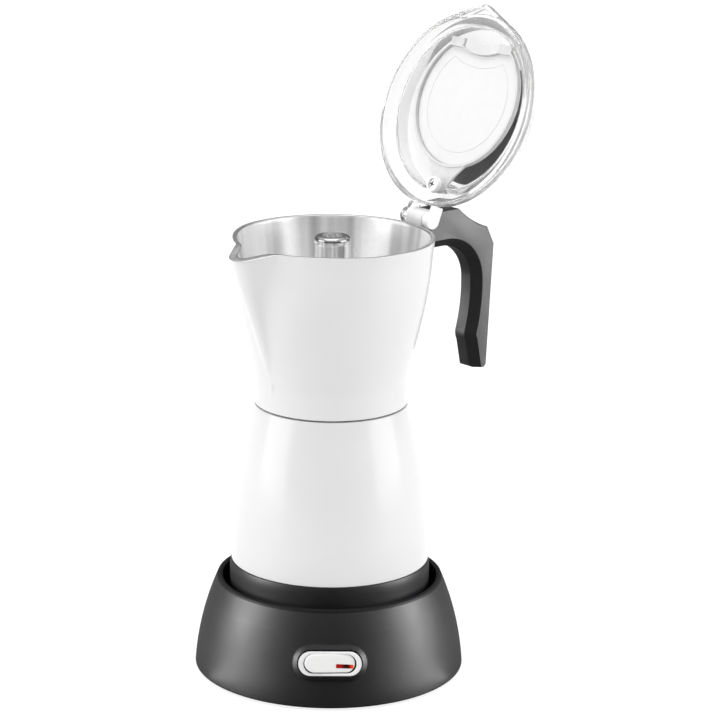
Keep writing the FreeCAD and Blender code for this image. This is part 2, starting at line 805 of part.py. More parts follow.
def plug():
    """Cordless plug in the middle of the underside, its contacts and the leads to the heater."""
    turned("pot_connector", [
        (0, "plug_ceiling"),
        ("plug_bore", "plug_ceiling"),
        ("plug_bore", "plug_bottom"),
        ("plug_radius", "plug_bottom"),
        ("plug_radius", "collar_floor_top"),
        ("plug_flange_radius", "collar_floor_top"),
        ("plug_flange_radius", "collar_floor_top + plug_flange_thickness"),
        ("plug_radius", "collar_floor_top + plug_flange_thickness"),
        ("plug_radius", "plug_top"),
        (0, "plug_top"),
    ], ON_POT)
    pin = cylinder("plug_pin_radius", "plug_ceiling - plug_pin_bottom", spot(0, 0, "plug_pin_bottom"))
    outer = cylinder("plug_ring_outer", "plug_ceiling - plug_pin_bottom - 0.6", spot(0, 0, "plug_pin_bottom + 0.6"))
    inner = cylinder("plug_ring_inner", "plug_ceiling - plug_pin_bottom - 0.6", spot(0, 0, "plug_pin_bottom + 0.6"))
    band = doc.addObject("Part::Cut", "band")
    band.Base = outer
    band.Tool = inner
    tabs = [block("0.8", "4.8", "4", spot(across, 0, "plug_top")) for across in (-14, 14)]
    group("connector_contacts", [pin, band] + tabs, ON_POT)
    routes = [
        [(-14, 2.5, 51), (-14, 6, 51), (-18, 11, 50.2), (-22.6, 12.7, 47.2), (-26, 12.7, 47)],
        [(14, -2.5, 51), (14, -7, 51.4), (12.4, -15.6, 53.6), (9.8, -18, 54.7), (7.3, -18, 54.7)],
        [(-7.3, -18, 54.7), (-10, -18, 54.6), (-16, -16, 52.3), (-22.6, -12.7, 47.2), (-26, -12.7, 47)],
    ]
    wires("pot_leads", routes, 0.9, ON_POT)


def safety_valve():
    """Brass safety valve in the boiler wall, with its pin and spring."""
    outwards = spot(0, 0, "valve_height", "rotation(vector(1; 0; 0); -90)")
    turned("valve_body", [
        (2.6, "valve_boss_face - 6"),
        ("valve_thread_radius", "valve_boss_face - 6"),
        ("valve_thread_radius", "valve_boss_face"),
        (5.4, "valve_boss_face"),
        (5.4, "valve_boss_face + 3"),
        (4.2, "valve_face"),
        (1.8, "valve_face"),
        (1.8, "valve_face - 1.4"),
        (2.6, "valve_face - 1.4"),
    ], ON_POT + " * " + outwards)
    turned("valve_pin", [
        (0, "valve_boss_face - 7.2"),
        (2.2, "valve_boss_face - 7.2"),
        (2.2, "valve_boss_face - 5.4"),
        (1.2, "valve_boss_face - 5.4"),
        (1.2, "valve_face + 0.6"),
        (0, "valve_face + 0.6"),
    ], ON_POT + " * " + outwards)
    helix = Part.makeHelix(1.55, 7.4, 1.95)
    helix.translate(vec(0, 0, read("valve_boss_face") - 4.9))
    start = helix.Vertexes[0].Point
    tangent = helix.Edges[0].tangentAt(helix.Edges[0].FirstParameter)
    profile = Part.Wire(Part.makeCircle(0.28, start, tangent))
    spring = doc.addObject("Part::Feature", "valve_spring_coil")
    spring.Shape = Part.Wire(helix.Edges).makePipeShell([profile], True, True)
    finish(spring, "valve_spring", ON_POT + " * " + outwards)


def coffee_stack():
    """Funnel with its strainer, and the gasket and filter plate above it."""
    turned("funnel", [
        ("funnel_radius", "funnel_rim_top - funnel_wall"),
        ("funnel_rim_radius", "funnel_rim_top - funnel_wall"),
        ("funnel_rim_radius", "funnel_rim_top"),
        ("funnel_radius - funnel_wall", "funnel_rim_top"),
        ("funnel_radius - funnel_wall", "funnel_cone_top"),
        ("funnel_radius - funnel_wall * 3", "funnel_cone_top - 4"),
        ("stem_radius - funnel_wall + 0.2", "funnel_cone_top - 12"),
        ("stem_radius - funnel_wall + 0.2", "stem_bottom"),
        ("stem_radius", "stem_bottom"),
        ("stem_radius", "funnel_cone_top - 13"),
        ("funnel_radius - funnel_wall * 2", "funnel_cone_top - 5"),
        ("funnel_radius", "funnel_cone_top - 0.6"),
    ], ON_POT)
    strainer("funnel_strainer", "funnel_radius - funnel_wall - 0.1", [
        (0, "funnel_cone_top + 0.1"),
        ("funnel_radius - funnel_wall - 0.1", "funnel_cone_top + 0.1"),
        ("funnel_radius - funnel_wall - 0.1", "funnel_cone_top + 0.9"),
        (0, "funnel_cone_top + 0.9"),
    ])
    turned("gasket", tube_corners("gasket_inner", "gasket_outer", "funnel_rim_top + 0.2", "gasket_top"), ON_POT)
    strainer("filter_plate", "filter_radius", [
        (0, "funnel_rim_top + 0.5"),
        ("filter_radius", "funnel_rim_top + 0.5"),
        ("filter_radius", "gasket_top - 0.1"),
        ("filter_radius - 0.8", "gasket_top - 0.1"),
        ("filter_radius - 0.8", "funnel_rim_top + 1.3"),
        (0, "funnel_rim_top + 1.3"),
    ])


def strainer(label, radius, corners):
    """A turned plate with rings of holes."""
    body = new_body(label)
    plate = new_sketch(body, "XZ_Plane")
    outline(plate, corners)
    revolve(body, plate)
    for share, count in ((0.3, 6), (0.6, 12)):
        hole = new_sketch(body, "XY_Plane", shift="vector(0; 0; funnel_cone_top)")
        ring(hole, "1.1", "(%s) * %g" % (radius, share), 0)
        holes = extrude(body, hole, "200", cut=True, both=True)
        repeat(body, holes, count)
    return finish(body, label, ON_POT)


# Collector

def beak_section(body, height, radius, tip, tip_round, half_angle, root_angle):
    """One level outline of the beak: round tip, hollow flanks and roots just inside the round wall."""
    lean = math.radians(half_angle)
    spread = math.radians(root_angle)
    touch = vec(-(tip - tip_round + tip_round * math.sin(lean)), tip_round * math.cos(lean))
    root = vec(-radius * math.cos(spread), radius * math.sin(spread))
    along = vec(math.cos(lean), math.sin(lean))
    chord = root - touch
    turn = along.x * chord.y - along.y * chord.x
    flank = chord.Length ** 2 / (2 * abs(turn))
    inner = vec(-0.6 * radius, 0.8 * root.y)
    sketch = new_sketch(body, "XY_Plane", shift="vector(0; 0; %g)" % height)
    outline(sketch, [
        (inner.x, inner.y),
        (root.x, root.y, -flank),
        (touch.x, touch.y, tip_round),
        (touch.x, -touch.y, -flank),
        (root.x, -root.y),
        (inner.x, -inner.y),
    ])
    return sketch


def flare_radius(height):
    """Outside radius of the round wall at a height, on the arc between skirt and rim."""
    low = vec(read("seam_radius"), read("skirt_top"))
    high = vec(read("rim_radius"), read("rim_height"))
    chord = high - low
    bend = read("flare_bend")
    middle = (low + high) * 0.5
    inwards = vec(-chord.y, chord.x).normalize()
    centre = middle + inwards * math.sqrt(bend * bend - chord.Length * chord.Length / 4)
    return centre.x + math.sqrt(bend * bend - (height - centre.y) ** 2)


def collector():
    """Cast collector: threaded skirt, flaring wall, rounded rim, pouring beak and hinge lug."""
    body = new_body("collector")
    outside = new_sketch(body, "XZ_Plane")
    outline(outside, [
        (0, "skirt_bottom"),
        ("seam_radius", "skirt_bottom"),
        ("seam_radius", "skirt_top", "flare_bend"),
        ("rim_radius", "rim_height - rim_round", "rim_round"),
        ("rim_radius - rim_round", "rim_height"),
        (0, "rim_height"),
    ])
    revolve(body, outside)

    top = read("rim_height")
    wall = read("rim_thickness")
    levels = [
        (top, 68.3, 7, 9, 16.5),
        (top - 17, 61.7, 6.5, 20, 21),
        (top - 36, 54.6, 6, 33, 18.5),
        (top - 53, 48.3, 5, 46, 14),
        (top - 71, flare_radius(top - 71) - 0.3, 4, 66, 7),
    ]
    beak = []
    for height, tip, tip_round, half_angle, root_angle in levels:
        radius = flare_radius(height) - 1.2
        beak.append(beak_section(body, height, radius, tip, tip_round, half_angle, root_angle))
    loft(body, beak)

    inside = new_sketch(body, "XZ_Plane")
    outline(inside, [
        (0, "collector_floor"),
        ("seam_radius - rim_thickness - 5", "collector_floor", 6),
        ("seam_radius - rim_thickness + 0.6", "collector_floor + 6", "flare_bend"),
        ("rim_radius - rim_thickness", "rim_height - rim_round", "-rim_round"),
        ("rim_radius - rim_thickness + rim_round", "rim_height"),
        ("rim_radius - rim_thickness + rim_round", "rim_height + 1"),
        (0, "rim_height + 1"),
    ])
    revolve(body, inside, cut=True)
    foot_of_channel = top - 61
    levels[-1] = (foot_of_channel, flare_radius(foot_of_channel) - 0.3, 4, 66, 9)
    channel = []
    for height, tip, tip_round, half_angle, root_angle in levels:
        radius = flare_radius(height) - wall
        spread = math.degrees(math.asin(math.sin(math.radians(root_angle)) - 1.9 / radius))
        channel.append(beak_section(body, height, radius - 1.2, tip - wall, tip_round * 0.65, half_angle, spread))
    loft(body, channel, cut=True)

    bore = new_sketch(body, "XY_Plane", shift="vector(0; 0; skirt_bottom)")
    ring(bore, "skirt_bore")
    extrude(body, bore, "collector_underside - skirt_bottom", cut=True, flip=True)

    droop = new_sketch(body, "XZ_Plane")
    outline(droop, [
        (-51, "rim_height"),
        (-76, "rim_height - 4.2"),
        (-76, "rim_height + 2"),
        (-51, "rim_height + 2"),
    ])
    extrude(body, droop, "60", cut=True, both=True)

    lug = new_sketch(body, "XZ_Plane")
    outline(lug, [
        ("rim_radius - 1.6", "hinge_height - 11"),
        ("hinge_reach", "hinge_height - 9"),
        ("hinge_reach + 4.8", "hinge_height - 5"),
        ("hinge_reach + 4.8", "hinge_height + barrel_radius"),
        ("hinge_reach", "hinge_height + barrel_radius", "-barrel_radius"),
        ("hinge_reach - barrel_radius", "hinge_height"),
        ("hinge_reach - barrel_radius", "hinge_height - 4"),
        ("rim_radius - 1.6", "hinge_height - 7"),
    ])
    extrude(body, lug, "lug_width", both=True)
    tongue = new_sketch(body, "XZ_Plane")
    outline(tongue, [
        ("hinge_reach", "hinge_height - 8.6"),
        ("hinge_reach + 16", "hinge_height - 8.6"),
        ("hinge_reach + 16", "hinge_height + 1"),
        ("hinge_reach", "hinge_height + 1"),
    ])
    extrude(body, tongue, "tongue_width", both=True)
    eye = new_sketch(body, "XZ_Plane")
    ring(eye, "pin_radius", "hinge_reach", "hinge_height")
    extrude(body, eye, "lug_width * 2", cut=True, both=True)
    bore = new_sketch(body, "XY_Plane", shift="vector(0; 0; hinge_height - 9)")
    ring(bore, "screw_radius", "handle_screw_reach", 0)
    extrude(body, bore, "8", cut=True, flip=True)
    return finish(body, "collector", ON_POT)


def column():
    """Steel column in the middle of the collector, with its polished cap."""
    body = new_body("column_tube")
    wall = new_sketch(body, "XZ_Plane")
    outline(wall, tube_corners("column_radius - column_wall", "column_radius", "collector_floor", "column_top"))
    revolve(body, wall)
    mouth = new_sketch(body, "YZ_Plane")
    box_outline(mouth, "0", "column_top - 6", "8", "5")
    extrude(body, mouth, "column_radius * 1.2", cut=True, flip=True)
    finish(body, "column_tube", ON_POT)
    turned("column_cap", [
        (0, "column_top - 2"),
        ("column_radius - column_wall - 0.1", "column_top - 2"),
        ("column_radius - column_wall - 0.1", "column_top"),
        ("column_radius", "column_top"),
        ("column_radius", "cap_top - 2.6", 2.4),
        ("column_radius - 2.4", "cap_top - 0.2"),
        (5, "cap_top"),
        (0, "cap_top"),
    ], ON_POT)


# Handle

def handle():
    """Moulded handle: wide root behind the hinge, drooping grip and long chamfers on the finger side."""
    body = new_body("handle")
    side = new_sketch(body, "XZ_Plane")
    outline(side, [
        ("rim_radius - 2", "handle_underside"),
        ("handle_inner - arch_radius", "handle_underside", "-arch_radius"),
        ("handle_inner", "handle_underside - arch_radius", -90),
        ("handle_inner - 3.3", "finger_bend + 3.4", 9),
        ("handle_inner - 2.6", "finger_bend - 3.6"),
        ("handle_inner + 0.2", "handle_bottom + 1.6"),
        ("handle_inner + 1.8", "handle_bottom"),
        ("handle_outer - 5.5", "handle_bottom"),
        ("handle_outer - 3.8", "handle_bottom + 2"),
        ("handle_outer", "shoulder_low"),
        ("handle_outer - 5.1", "shoulder_low + 10", -58),
        ("handle_outer - 26.6", "handle_top"),
        ("rim_radius - 2", "handle_top"),
    ])
    extrude(body, side, "handle_width", both=True)
    bevel(body, finger_edge, "handle_chamfer")
    bevel(body, outer_edge, "0.8", round_edge=True)

    start = "rim_radius - 4.2"
    wall = new_sketch(body, "XY_Plane", shift="vector(0; 0; handle_underside - 2)")
    ring(wall, "rim_radius + 0.2")
    extrude(body, wall, "handle_top - handle_underside + 4", cut=True, flip=True)
    swing = new_sketch(body, "XZ_Plane")
    ring(swing, "barrel_radius + 1.1", "hinge_reach", "hinge_height")
    extrude(body, swing, "handle_width + 2", cut=True, both=True)
    mouth = new_sketch(body, "XZ_Plane")
    outline(mouth, [
        (start, "hinge_height - 3.2"),
        ("hinge_reach + 4", "hinge_height - 3.2"),
        ("hinge_reach + 5", "hinge_height - 1"),
        ("hinge_reach + 8.2", "hinge_height + 7"),
        (start, "hinge_height + 7"),
    ])
    extrude(body, mouth, "handle_width + 2", cut=True, both=True)
    seat = new_sketch(body, "XZ_Plane")
    outline(seat, [
        (start, "hinge_height - 11.4"),
        ("hinge_reach", "hinge_height - 9.4"),
        ("hinge_reach + 5.1", "hinge_height - 5.2"),
        ("hinge_reach + 5.1", "hinge_height + 8"),
        (start, "hinge_height + 8"),
    ])
    extrude(body, seat, "lug_width + 0.4", cut=True, both=True)
    slit = new_sketch(body, "XZ_Plane")
    outline(slit, [
        (start, "hinge_height - 8.8"),
        ("hinge_reach + 16.3", "hinge_height - 8.8"),
        ("hinge_reach + 16.3", "hinge_height + 1.3"),
        (start, "hinge_height + 1.3"),
    ])
    extrude(body, slit, "tongue_width + 0.4", cut=True, both=True)
    sink = new_sketch(body, "XY_Plane", shift="vector(0; 0; handle_underside - 1)")
    ring(sink, "screw_head_radius + 0.2", "handle_screw_reach", 0)
    extrude(body, sink, "handle_screw_seat - handle_underside + 1", cut=True, flip=True)
    bore = new_sketch(body, "XY_Plane", shift="vector(0; 0; handle_screw_seat)")
    ring(bore, "screw_radius + 0.1", "handle_screw_reach", 0)
    extrude(body, bore, "5", cut=True, flip=True)
    finish(body, "handle", ON_POT)

    screws("handle_screw", [spot("handle_screw_reach", 0, 0)], "handle_screw_seat - screw_head_height", "10", ON_POT)


def on_handle_side(edge):
    """Whether an edge lies flat in one of the handle's two side faces."""
    box = edge.BoundBox
    return abs(abs(box.Center.y) - read("handle_width") / 2) < 0.01 and box.YLength < 0.01


def finger_edge(edge):
    """The long edges on the finger side of the grip, under the root and down to its foot."""
    box = edge.BoundBox
    return on_handle_side(edge) and box.ZMax < read("handle_underside") + 1 and box.XMin < read("handle_inner") - 0.2


def outer_edge(edge):
    """The long edges on the outer side of the grip, from its top corner to its foot."""
    box = edge.BoundBox
    return on_handle_side(edge) and box.ZMax > 200 and box.XMax > read("handle_outer") - 5.2 and box.ZLength > 8


# Lid

def lid_shell():
    """Clear lid: skirt band, sloping wall, flat roof, inner rib, pointed tip and two hinge ears."""
    body = new_body("lid_shell")
    wall = new_sketch(body, "XZ_Plane")
    outline(wall, [
        (0, "lid_roof_top - lid_wall"),
        ("lid_roof_radius - 1", "lid_roof_top - lid_wall"),
        ("lid_radius - lid_wall", "lid_band_top - 1.8"),
        ("lid_radius - lid_wall", "lid_bottom"),
        ("lid_radius", "lid_bottom"),
        ("lid_radius", "lid_band_top", 4),
        ("lid_radius - 2.2", "lid_band_top + 1.8"),
        ("lid_roof_radius", "lid_roof_top"),
        (0, "lid_roof_top"),
    ])
    revolve(body, wall)

    rib = new_sketch(body, "XY_Plane", shift="vector(0; 0; lid_rib_bottom)")
    ring(rib, "lid_rib_inner", "-lid_rib_shift", 0)
    ring(rib, "lid_rib_inner + 1.6", "-lid_rib_shift", 0)
    extrude(body, rib, "lid_rib_top - lid_rib_bottom")
    gap = new_sketch(body, "XY_Plane", shift="vector(0; 0; lid_rib_bottom)")
    box_outline(gap, "lid_screw_shift - 0.6", "0", "8.6", "19")
    extrude(body, gap, "insert_top - lid_rib_bottom", cut=True, flip=True)
    boss = new_sketch(body, "XY_Plane", shift="vector(0; 0; insert_top - 1.2)")
    ring(boss, "3.2", "lid_screw_shift", 0)
    extrude(body, boss, "lid_rib_top - insert_top + 1.2")
    around = new_sketch(body, "XZ_Plane")
    outline(around, [
        ("lid_radius - 2.2", "lid_band_top + 1.8"),
        ("lid_radius + 5", "lid_band_top + 1.8"),
        ("lid_radius + 5", "lid_roof_top"),
        ("lid_roof_radius", "lid_roof_top"),
    ])
    revolve(body, around, cut=True)

    tip = new_sketch(body, "XY_Plane", shift="vector(0; 0; lid_bottom)")
    tip_outline(tip, 0)
    extrude(body, tip, "lid_band_top - lid_bottom")
    hollow = new_sketch(body, "XY_Plane", shift="vector(0; 0; lid_bottom)")
    tip_outline(hollow, read("lid_wall"))
    extrude(body, hollow, "lid_band_top - lid_bottom - 2", cut=True, flip=True)

    for side in (-1, 1):
        offset = "%d * (lug_width / 2 + ear_gap)" % side
        ear = new_sketch(body, "XZ_Plane", shift="vector(0; 0; -(%s))" % offset)
        outline(ear, [
            ("lid_radius - 2", "lid_bottom"),
            ("lid_reach - barrel_radius", "lid_bottom"),
            ("lid_reach - barrel_radius", 0, "barrel_radius"),
            ("lid_reach", "-barrel_radius", "barrel_radius"),
            ("lid_reach + barrel_radius", 0, "barrel_radius"),
            ("lid_reach", "barrel_radius"),
            ("lid_radius - 2", "barrel_radius"),
        ])
        extrude(body, ear, "ear_thickness", flip=side > 0)
    eye = new_sketch(body, "XZ_Plane")
    ring(eye, "pin_radius + pin_fit", "lid_reach", 0)
    extrude(body, eye, "60", cut=True, both=True)
    bore = new_sketch(body, "XY_Plane", shift="vector(0; 0; 0)")
    ring(bore, "screw_radius", "lid_screw_shift", 0)
    extrude(body, bore, "insert_top + 2", cut=True, flip=True)
    return finish(body, "lid_shell", ON_LID)


def tip_outline(sketch, inset):
    """The pointed tip of the lid seen from above, drawn smaller by a wall when it is hollowed."""
    root_across = 51.2 - inset
    root_side = 18 - inset
    point = read("lid_tip_reach") - inset
    bend = read("lid_tip_round") - inset * 0.8
    slope = math.atan2(point - root_across, root_side)
    drop = bend * (1 - math.cos(slope))
    touch_side = bend * math.sin(slope)
    outline(sketch, [
        (-46, -14),
        (-46, 14),
        (-root_across, root_side),
        (-(point - drop), touch_side, bend),
        (-(point - drop), -touch_side),
        (-root_across, -root_side),
    ])


def disc_outline(sketch, grow):
    """A round disc with a shallow bite out of its front, grown or shrunk all round."""
    radius = "disc_radius + %g" % grow
    half = read("disc_notch_half")
    shift = read("disc_shift")
    corner_across = -(shift + math.sqrt(read("disc_radius") ** 2 - half ** 2)) - grow * 0.6
    corner_side = half + grow * 0.4
    outline(sketch, [
        (corner_across, -corner_side, radius),
        ("-disc_shift", "-(%s)" % radius, radius),
        ("-disc_shift + %s" % radius, 0, radius),
        ("-disc_shift", radius, radius),
        (corner_across, corner_side, "-disc_notch_bend"),
    ])


def lid_insides():
    """Black plate on the roof, and the white disc in its clear frame under it."""
    turned("lid_top_plate", [
        (0, "lid_roof_top"),
        ("top_plate_radius", "lid_roof_top"),
        ("top_plate_radius", "lid_roof_top + 0.6"),
        ("top_plate_radius - 1", "lid_roof_top + top_plate_thickness"),
        (0, "lid_roof_top + top_plate_thickness"),
    ], ON_LID)

    body = new_body("lid_disc")
    plate = new_sketch(body, "XY_Plane", shift="vector(0; 0; insert_top)")
    disc_outline(plate, 0)
    extrude(body, plate, "1", flip=True)
    finish(body, "lid_disc", ON_LID)

    body = new_body("lid_disc_frame")
    band = new_sketch(body, "XY_Plane", shift="vector(0; 0; insert_top)")
    disc_outline(band, 1.6)
    extrude(body, band, "insert_rim", flip=True)
    window = new_sketch(body, "XY_Plane", shift="vector(0; 0; insert_top)")
    disc_outline(window, 0.1)
    extrude(body, window, "insert_rim * 3", cut=True, both=True)
    tab = new_sketch(body, "XY_Plane", shift="vector(0; 0; insert_top - 1.2)")
    outline(tab, [
        (28, -15),
        (35, -9),
        (42, -5),
        (42, 5),
        (35, 9),
        (28, 15, -38),
    ])
    extrude(body, tab, "1.4", flip=True)
    tower = new_sketch(body, "XY_Plane", shift="vector(0; 0; insert_top - 1.2)")
    ring(tower, "3.7", "lid_screw_shift", 0)
    extrude(body, tower, "5.4", flip=True)
    well = new_sketch(body, "XY_Plane", shift="vector(0; 0; insert_top - 1.2)")
    ring(well, "screw_radius + 0.1", "lid_screw_shift", 0)
    extrude(body, well, "20", cut=True, both=True)
    for side in (-1, 1):
        clip = new_sketch(body, "XY_Plane", shift="vector(0; 0; insert_top - 1.1)")
        box_outline(clip, "-37.3", "%d * 18.6" % side, "5", "10")
        extrude(body, clip, "insert_rim - 1.1", flip=True)
    finish(body, "lid_disc_frame", ON_LID)

    head_seat = "insert_top - 6.6"
    head = cylinder("screw_head_radius + 0.4", "screw_head_height",
                    spot("lid_screw_shift", 0, head_seat + " - screw_head_height"))
    shank = cylinder("screw_radius", "7.4", spot("lid_screw_shift", 0, head_seat))
    finish(fused([head, shank]), "lid_screw", ON_LID)


def hinge_pin():
    """Steel pin through the lug and both ears of the lid."""
    length = "lug_width + ear_gap * 2 + ear_thickness * 2"
    lying = spot("hinge_reach", "-(%s) / 2" % length, "hinge_height", "rotation(vector(1; 0; 0); -90)")
    finish(cylinder("pin_radius", length, ON_POT + " * " + lying), "hinge_pin")


base_shell()
base_underside()
base_socket()
rocker_switch()
mains_inlet()
boiler()
heater()
collar()
plug()
safety_valve()
coffee_stack()
collector()
column()
handle()
hinge_pin()
lid_shell()
lid_insides()
doc.recompute()

os.makedirs("parts", exist_ok=True)
for thing in doc.Objects:
    if "Invalid" in thing.State or "Error" in thing.State:
        raise RuntimeError("%s (%s) is not valid: %s" % (thing.Name, thing.Label, thing.State))
for piece in pieces:
    if piece.Shape.isNull() or not piece.Shape.isValid():
        raise RuntimeError("%s has no valid shape" % piece.Label)
    piece.Shape.exportStep("parts/%s.step" % piece.Label)
print("%d pieces" % len(pieces))
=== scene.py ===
import json
import math

import bmesh
import bpy
from mathutils import Matrix, Vector


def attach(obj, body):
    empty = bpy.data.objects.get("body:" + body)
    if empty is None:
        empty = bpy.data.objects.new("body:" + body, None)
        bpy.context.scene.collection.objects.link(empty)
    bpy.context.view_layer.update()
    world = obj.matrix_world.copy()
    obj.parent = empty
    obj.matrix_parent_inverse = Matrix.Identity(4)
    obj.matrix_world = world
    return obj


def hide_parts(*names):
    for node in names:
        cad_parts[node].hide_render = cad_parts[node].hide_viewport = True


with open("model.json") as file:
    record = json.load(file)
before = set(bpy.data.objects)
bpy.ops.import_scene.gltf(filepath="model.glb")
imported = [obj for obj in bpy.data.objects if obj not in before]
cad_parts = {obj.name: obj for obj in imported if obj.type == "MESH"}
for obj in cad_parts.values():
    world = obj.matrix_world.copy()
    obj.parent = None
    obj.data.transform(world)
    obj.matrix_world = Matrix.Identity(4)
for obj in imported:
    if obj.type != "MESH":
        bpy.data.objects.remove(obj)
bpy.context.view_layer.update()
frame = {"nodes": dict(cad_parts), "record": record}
BODIES = frame["record"]["behaviour"]["bodies"]
BODY_OF = {node: body for body, nodes in BODIES.items() for node in nodes}
SLOT_OF = {row["node"]: row["material_slot"] for row in frame["record"]["subparts"]}

# Sizes of the pot, in millimetres; those of the solids are the same as in the part's source
MM = 0.001
POT_ANGLE = 40
FOOT_HEIGHT = 1.5

BASE_RADIUS = 72.9
BASE_HEIGHT = 51.8
BASE_LIP_RADIUS = 61.2
BASE_FLANK_BEND = 150
BASE_WALL = 2.5
LIP_ROUND = 1.6
WELL_RADIUS = 57.6
WELL_FLOOR = 37.5
CAVITY_ROOF = 42
CAVITY_ROOF_RADIUS = 61.8
SOCKET_RADIUS = 16.8

PANEL_REACH = 71.2
PANEL_HEIGHT = 26.3
PANEL_LEAN = 16
BEZEL_LENGTH = 39.2
BEZEL_WIDTH = 18.8
BEZEL_SLOPE = 2.3
BEZEL_FOOT = 0.5
BEZEL_RECESS_INSET = 2.4
FRAME_LENGTH = 33.3
FRAME_WIDTH = 12.9
FRAME_DROP = 0.3
FRAME_THICKNESS = 2
SWITCH_HOLE_LENGTH = 30.8
SWITCH_HOLE_WIDTH = 12.8
ROCKER_OPENING_LENGTH = 27.7
ROCKER_OPENING_WIDTH = 10.05
ROCKER_LENGTH = 26.6
ROCKER_WIDTH = 9.6
ROCKER_PROUD = 0.6
ROCKER_DEPTH = 5
ROCKER_PIVOT_DEPTH = 4
ROCKER_TILT = 6
ROCKER_ROUND = 0.7
ROCKER_SADDLE = 0.18
ROCKER_STRAIGHT_HALF = 6
ROCKER_SWING = 14.05
ROCKER_RIGHT_CUT = -0.55
LENS_LENGTH = 9.2
LENS_WIDTH = 2.1
LENS_ACROSS = 7.35
LENS_UP = -1.6
LENS_TURN = -2.5
LAMP_ASIDE = 1.2

GLAND_HEIGHT = 15
GLAND_FACE = 73
GLAND_PAD_RADIUS = 8
GLAND_HOLE_RADIUS = 5

COLLAR_RADIUS = 54
COLLAR_BOTTOM = 39
COLLAR_FLOOR_TOP = 41.8
COLLAR_SHOULDER = 58
COLLAR_TOP = 61.4
COLLAR_INNER_RADIUS = 51.6
PLUG_HOLE_RADIUS = 19.5
FOOT_RING_INNER = 46.6
FOOT_RING_OUTER = 51.4
FOOT_RING_TOP = 40.2

BOILER_EDGE_RADIUS = 53.3
BOILER_EDGE_HEIGHT = 61.6
BOILER_FOOT_RADIUS = 51.3
BOILER_FOOT_BOTTOM = 57
BOILER_FOOT_WIDTH = 6
BOILER_UNDERSIDE = 60.6
BOILER_FLOOR_TOP = 64.1
BOILER_BEND = 380
SEAM_RADIUS = 40.9
BOILER_TOP = 147.9
NECK_RADIUS = 36.4
NECK_BORE = 33.4
NECK_TOP = 160
THREAD_PITCH = 3
THREAD_DEPTH = 0.55
THREAD_ROWS = 60

SKIRT_BOTTOM = 148.8
SKIRT_BORE = 36.9
SKIRT_TOP = 163.2
SKIRT_THREAD_ROWS = 52
FLARE_BEND = 544
RIM_RADIUS = 54.2
RIM_HEIGHT = 238.7
RIM_THICKNESS = 2.4
RIM_ROUND = 0.6
COLLECTOR_UNDERSIDE = 164.6
COLLECTOR_FLOOR = 167.4
COLUMN_RADIUS = 9.75
COLUMN_WALL = 0.9
COLUMN_TOP = 235
CAP_TOP = 239.3
DIMPLE_CIRCLE = 3.2
DIMPLE_RADIUS = 0.9
DIMPLE_HEIGHT = 0.3

HINGE_REACH = 61.7
HINGE_HEIGHT = 240
BARREL_RADIUS = 4.5
LUG_WIDTH = 12.6
LUG_END = 4.8
LID_ANGLE = 111.8
LID_REACH = 61.9
INSERT_TOP = 9.6
DISC_RADIUS = 36.4
DISC_SHIFT = 6.9
DISC_NOTCH_BEND = 37
DISC_NOTCH_CENTRE = 69.08
DISC_THICKNESS = 1
DISC_LINE_INSET = 7
LID_SCREW_SHIFT = 42.3
LID_RADIUS = 54
LID_WALL = 2.1
LID_BOTTOM = -0.7
LID_BAND_TOP = 4.8
LID_SHOULDER = Vector((-2.2, 1.8))
LID_SHOULDER_BEND = 4
LID_ROOF_RADIUS = 40.5
LID_ROOF_TOP = 21.5
NOSE_ROOT = 51.2
NOSE_SIDE = 18
NOSE_REACH = 59
NOSE_ROUND = 4
RIB_RADIUS = 45.4
RIB_THICKNESS = 1.6
RIB_SHIFT = 1.2
RIB_BOTTOM = 4.6
RIB_GAP = 12
TOWER_RADIUS = 3.2
EAR_THICKNESS = 4.4
EAR_GAP = 0.3
PIN_HOLE_RADIUS = 1.58
MIDDLE_FACE = 20
ROOF_PLATE_SHARE = 0.94
ROOF_PLATE_ASIDE = (1.2, -2.0, 0)

SCREW_HEAD_RADIUS = 2.6
SCREW_HEAD_HEIGHT = 1.6
SCREW_RADIUS = 1.4
CROSS_STEPS = 64
POST_CIRCLE = 63.5
COVER_SCREW_LENGTH = 8
COLLAR_SCREW_CIRCLE = 40
HANDLE_SCREW_REACH = 72.2
HANDLE_SCREW_SEAT = 227
HANDLE_SCREW_LENGTH = 10
LID_SCREW_DEPTH = 6.6
LID_SCREW_LENGTH = 7.4

# Light, in watts or as the strength of a glow, and the camera
FLOOR_REACH = 12.0
FLOOR_GLOW = 0.84
ROOM_LIGHT_LOW = 0.25
ROOM_LIGHT_HIGH = 1.5
WINDOW_WATTS = 9
TOP_WATTS = 7
STRIP_WATTS = 27
CARD_WATTS = 0.19
CARD_ACROSS = 0.108
CAMERA_SPOT = Vector((-14.0, -1456.7, 568.0)) * MM
CAMERA_PAN = 1.15
CAMERA_DOWN = 15.24
CAMERA_ROLL = 0.67
CAMERA_LENS = 141.75


def turned_by(axis, degrees):
    return Matrix.Rotation(math.radians(degrees), 4, axis)


def moved_by(across, deep, up):
    return Matrix.Translation((across, deep, up))


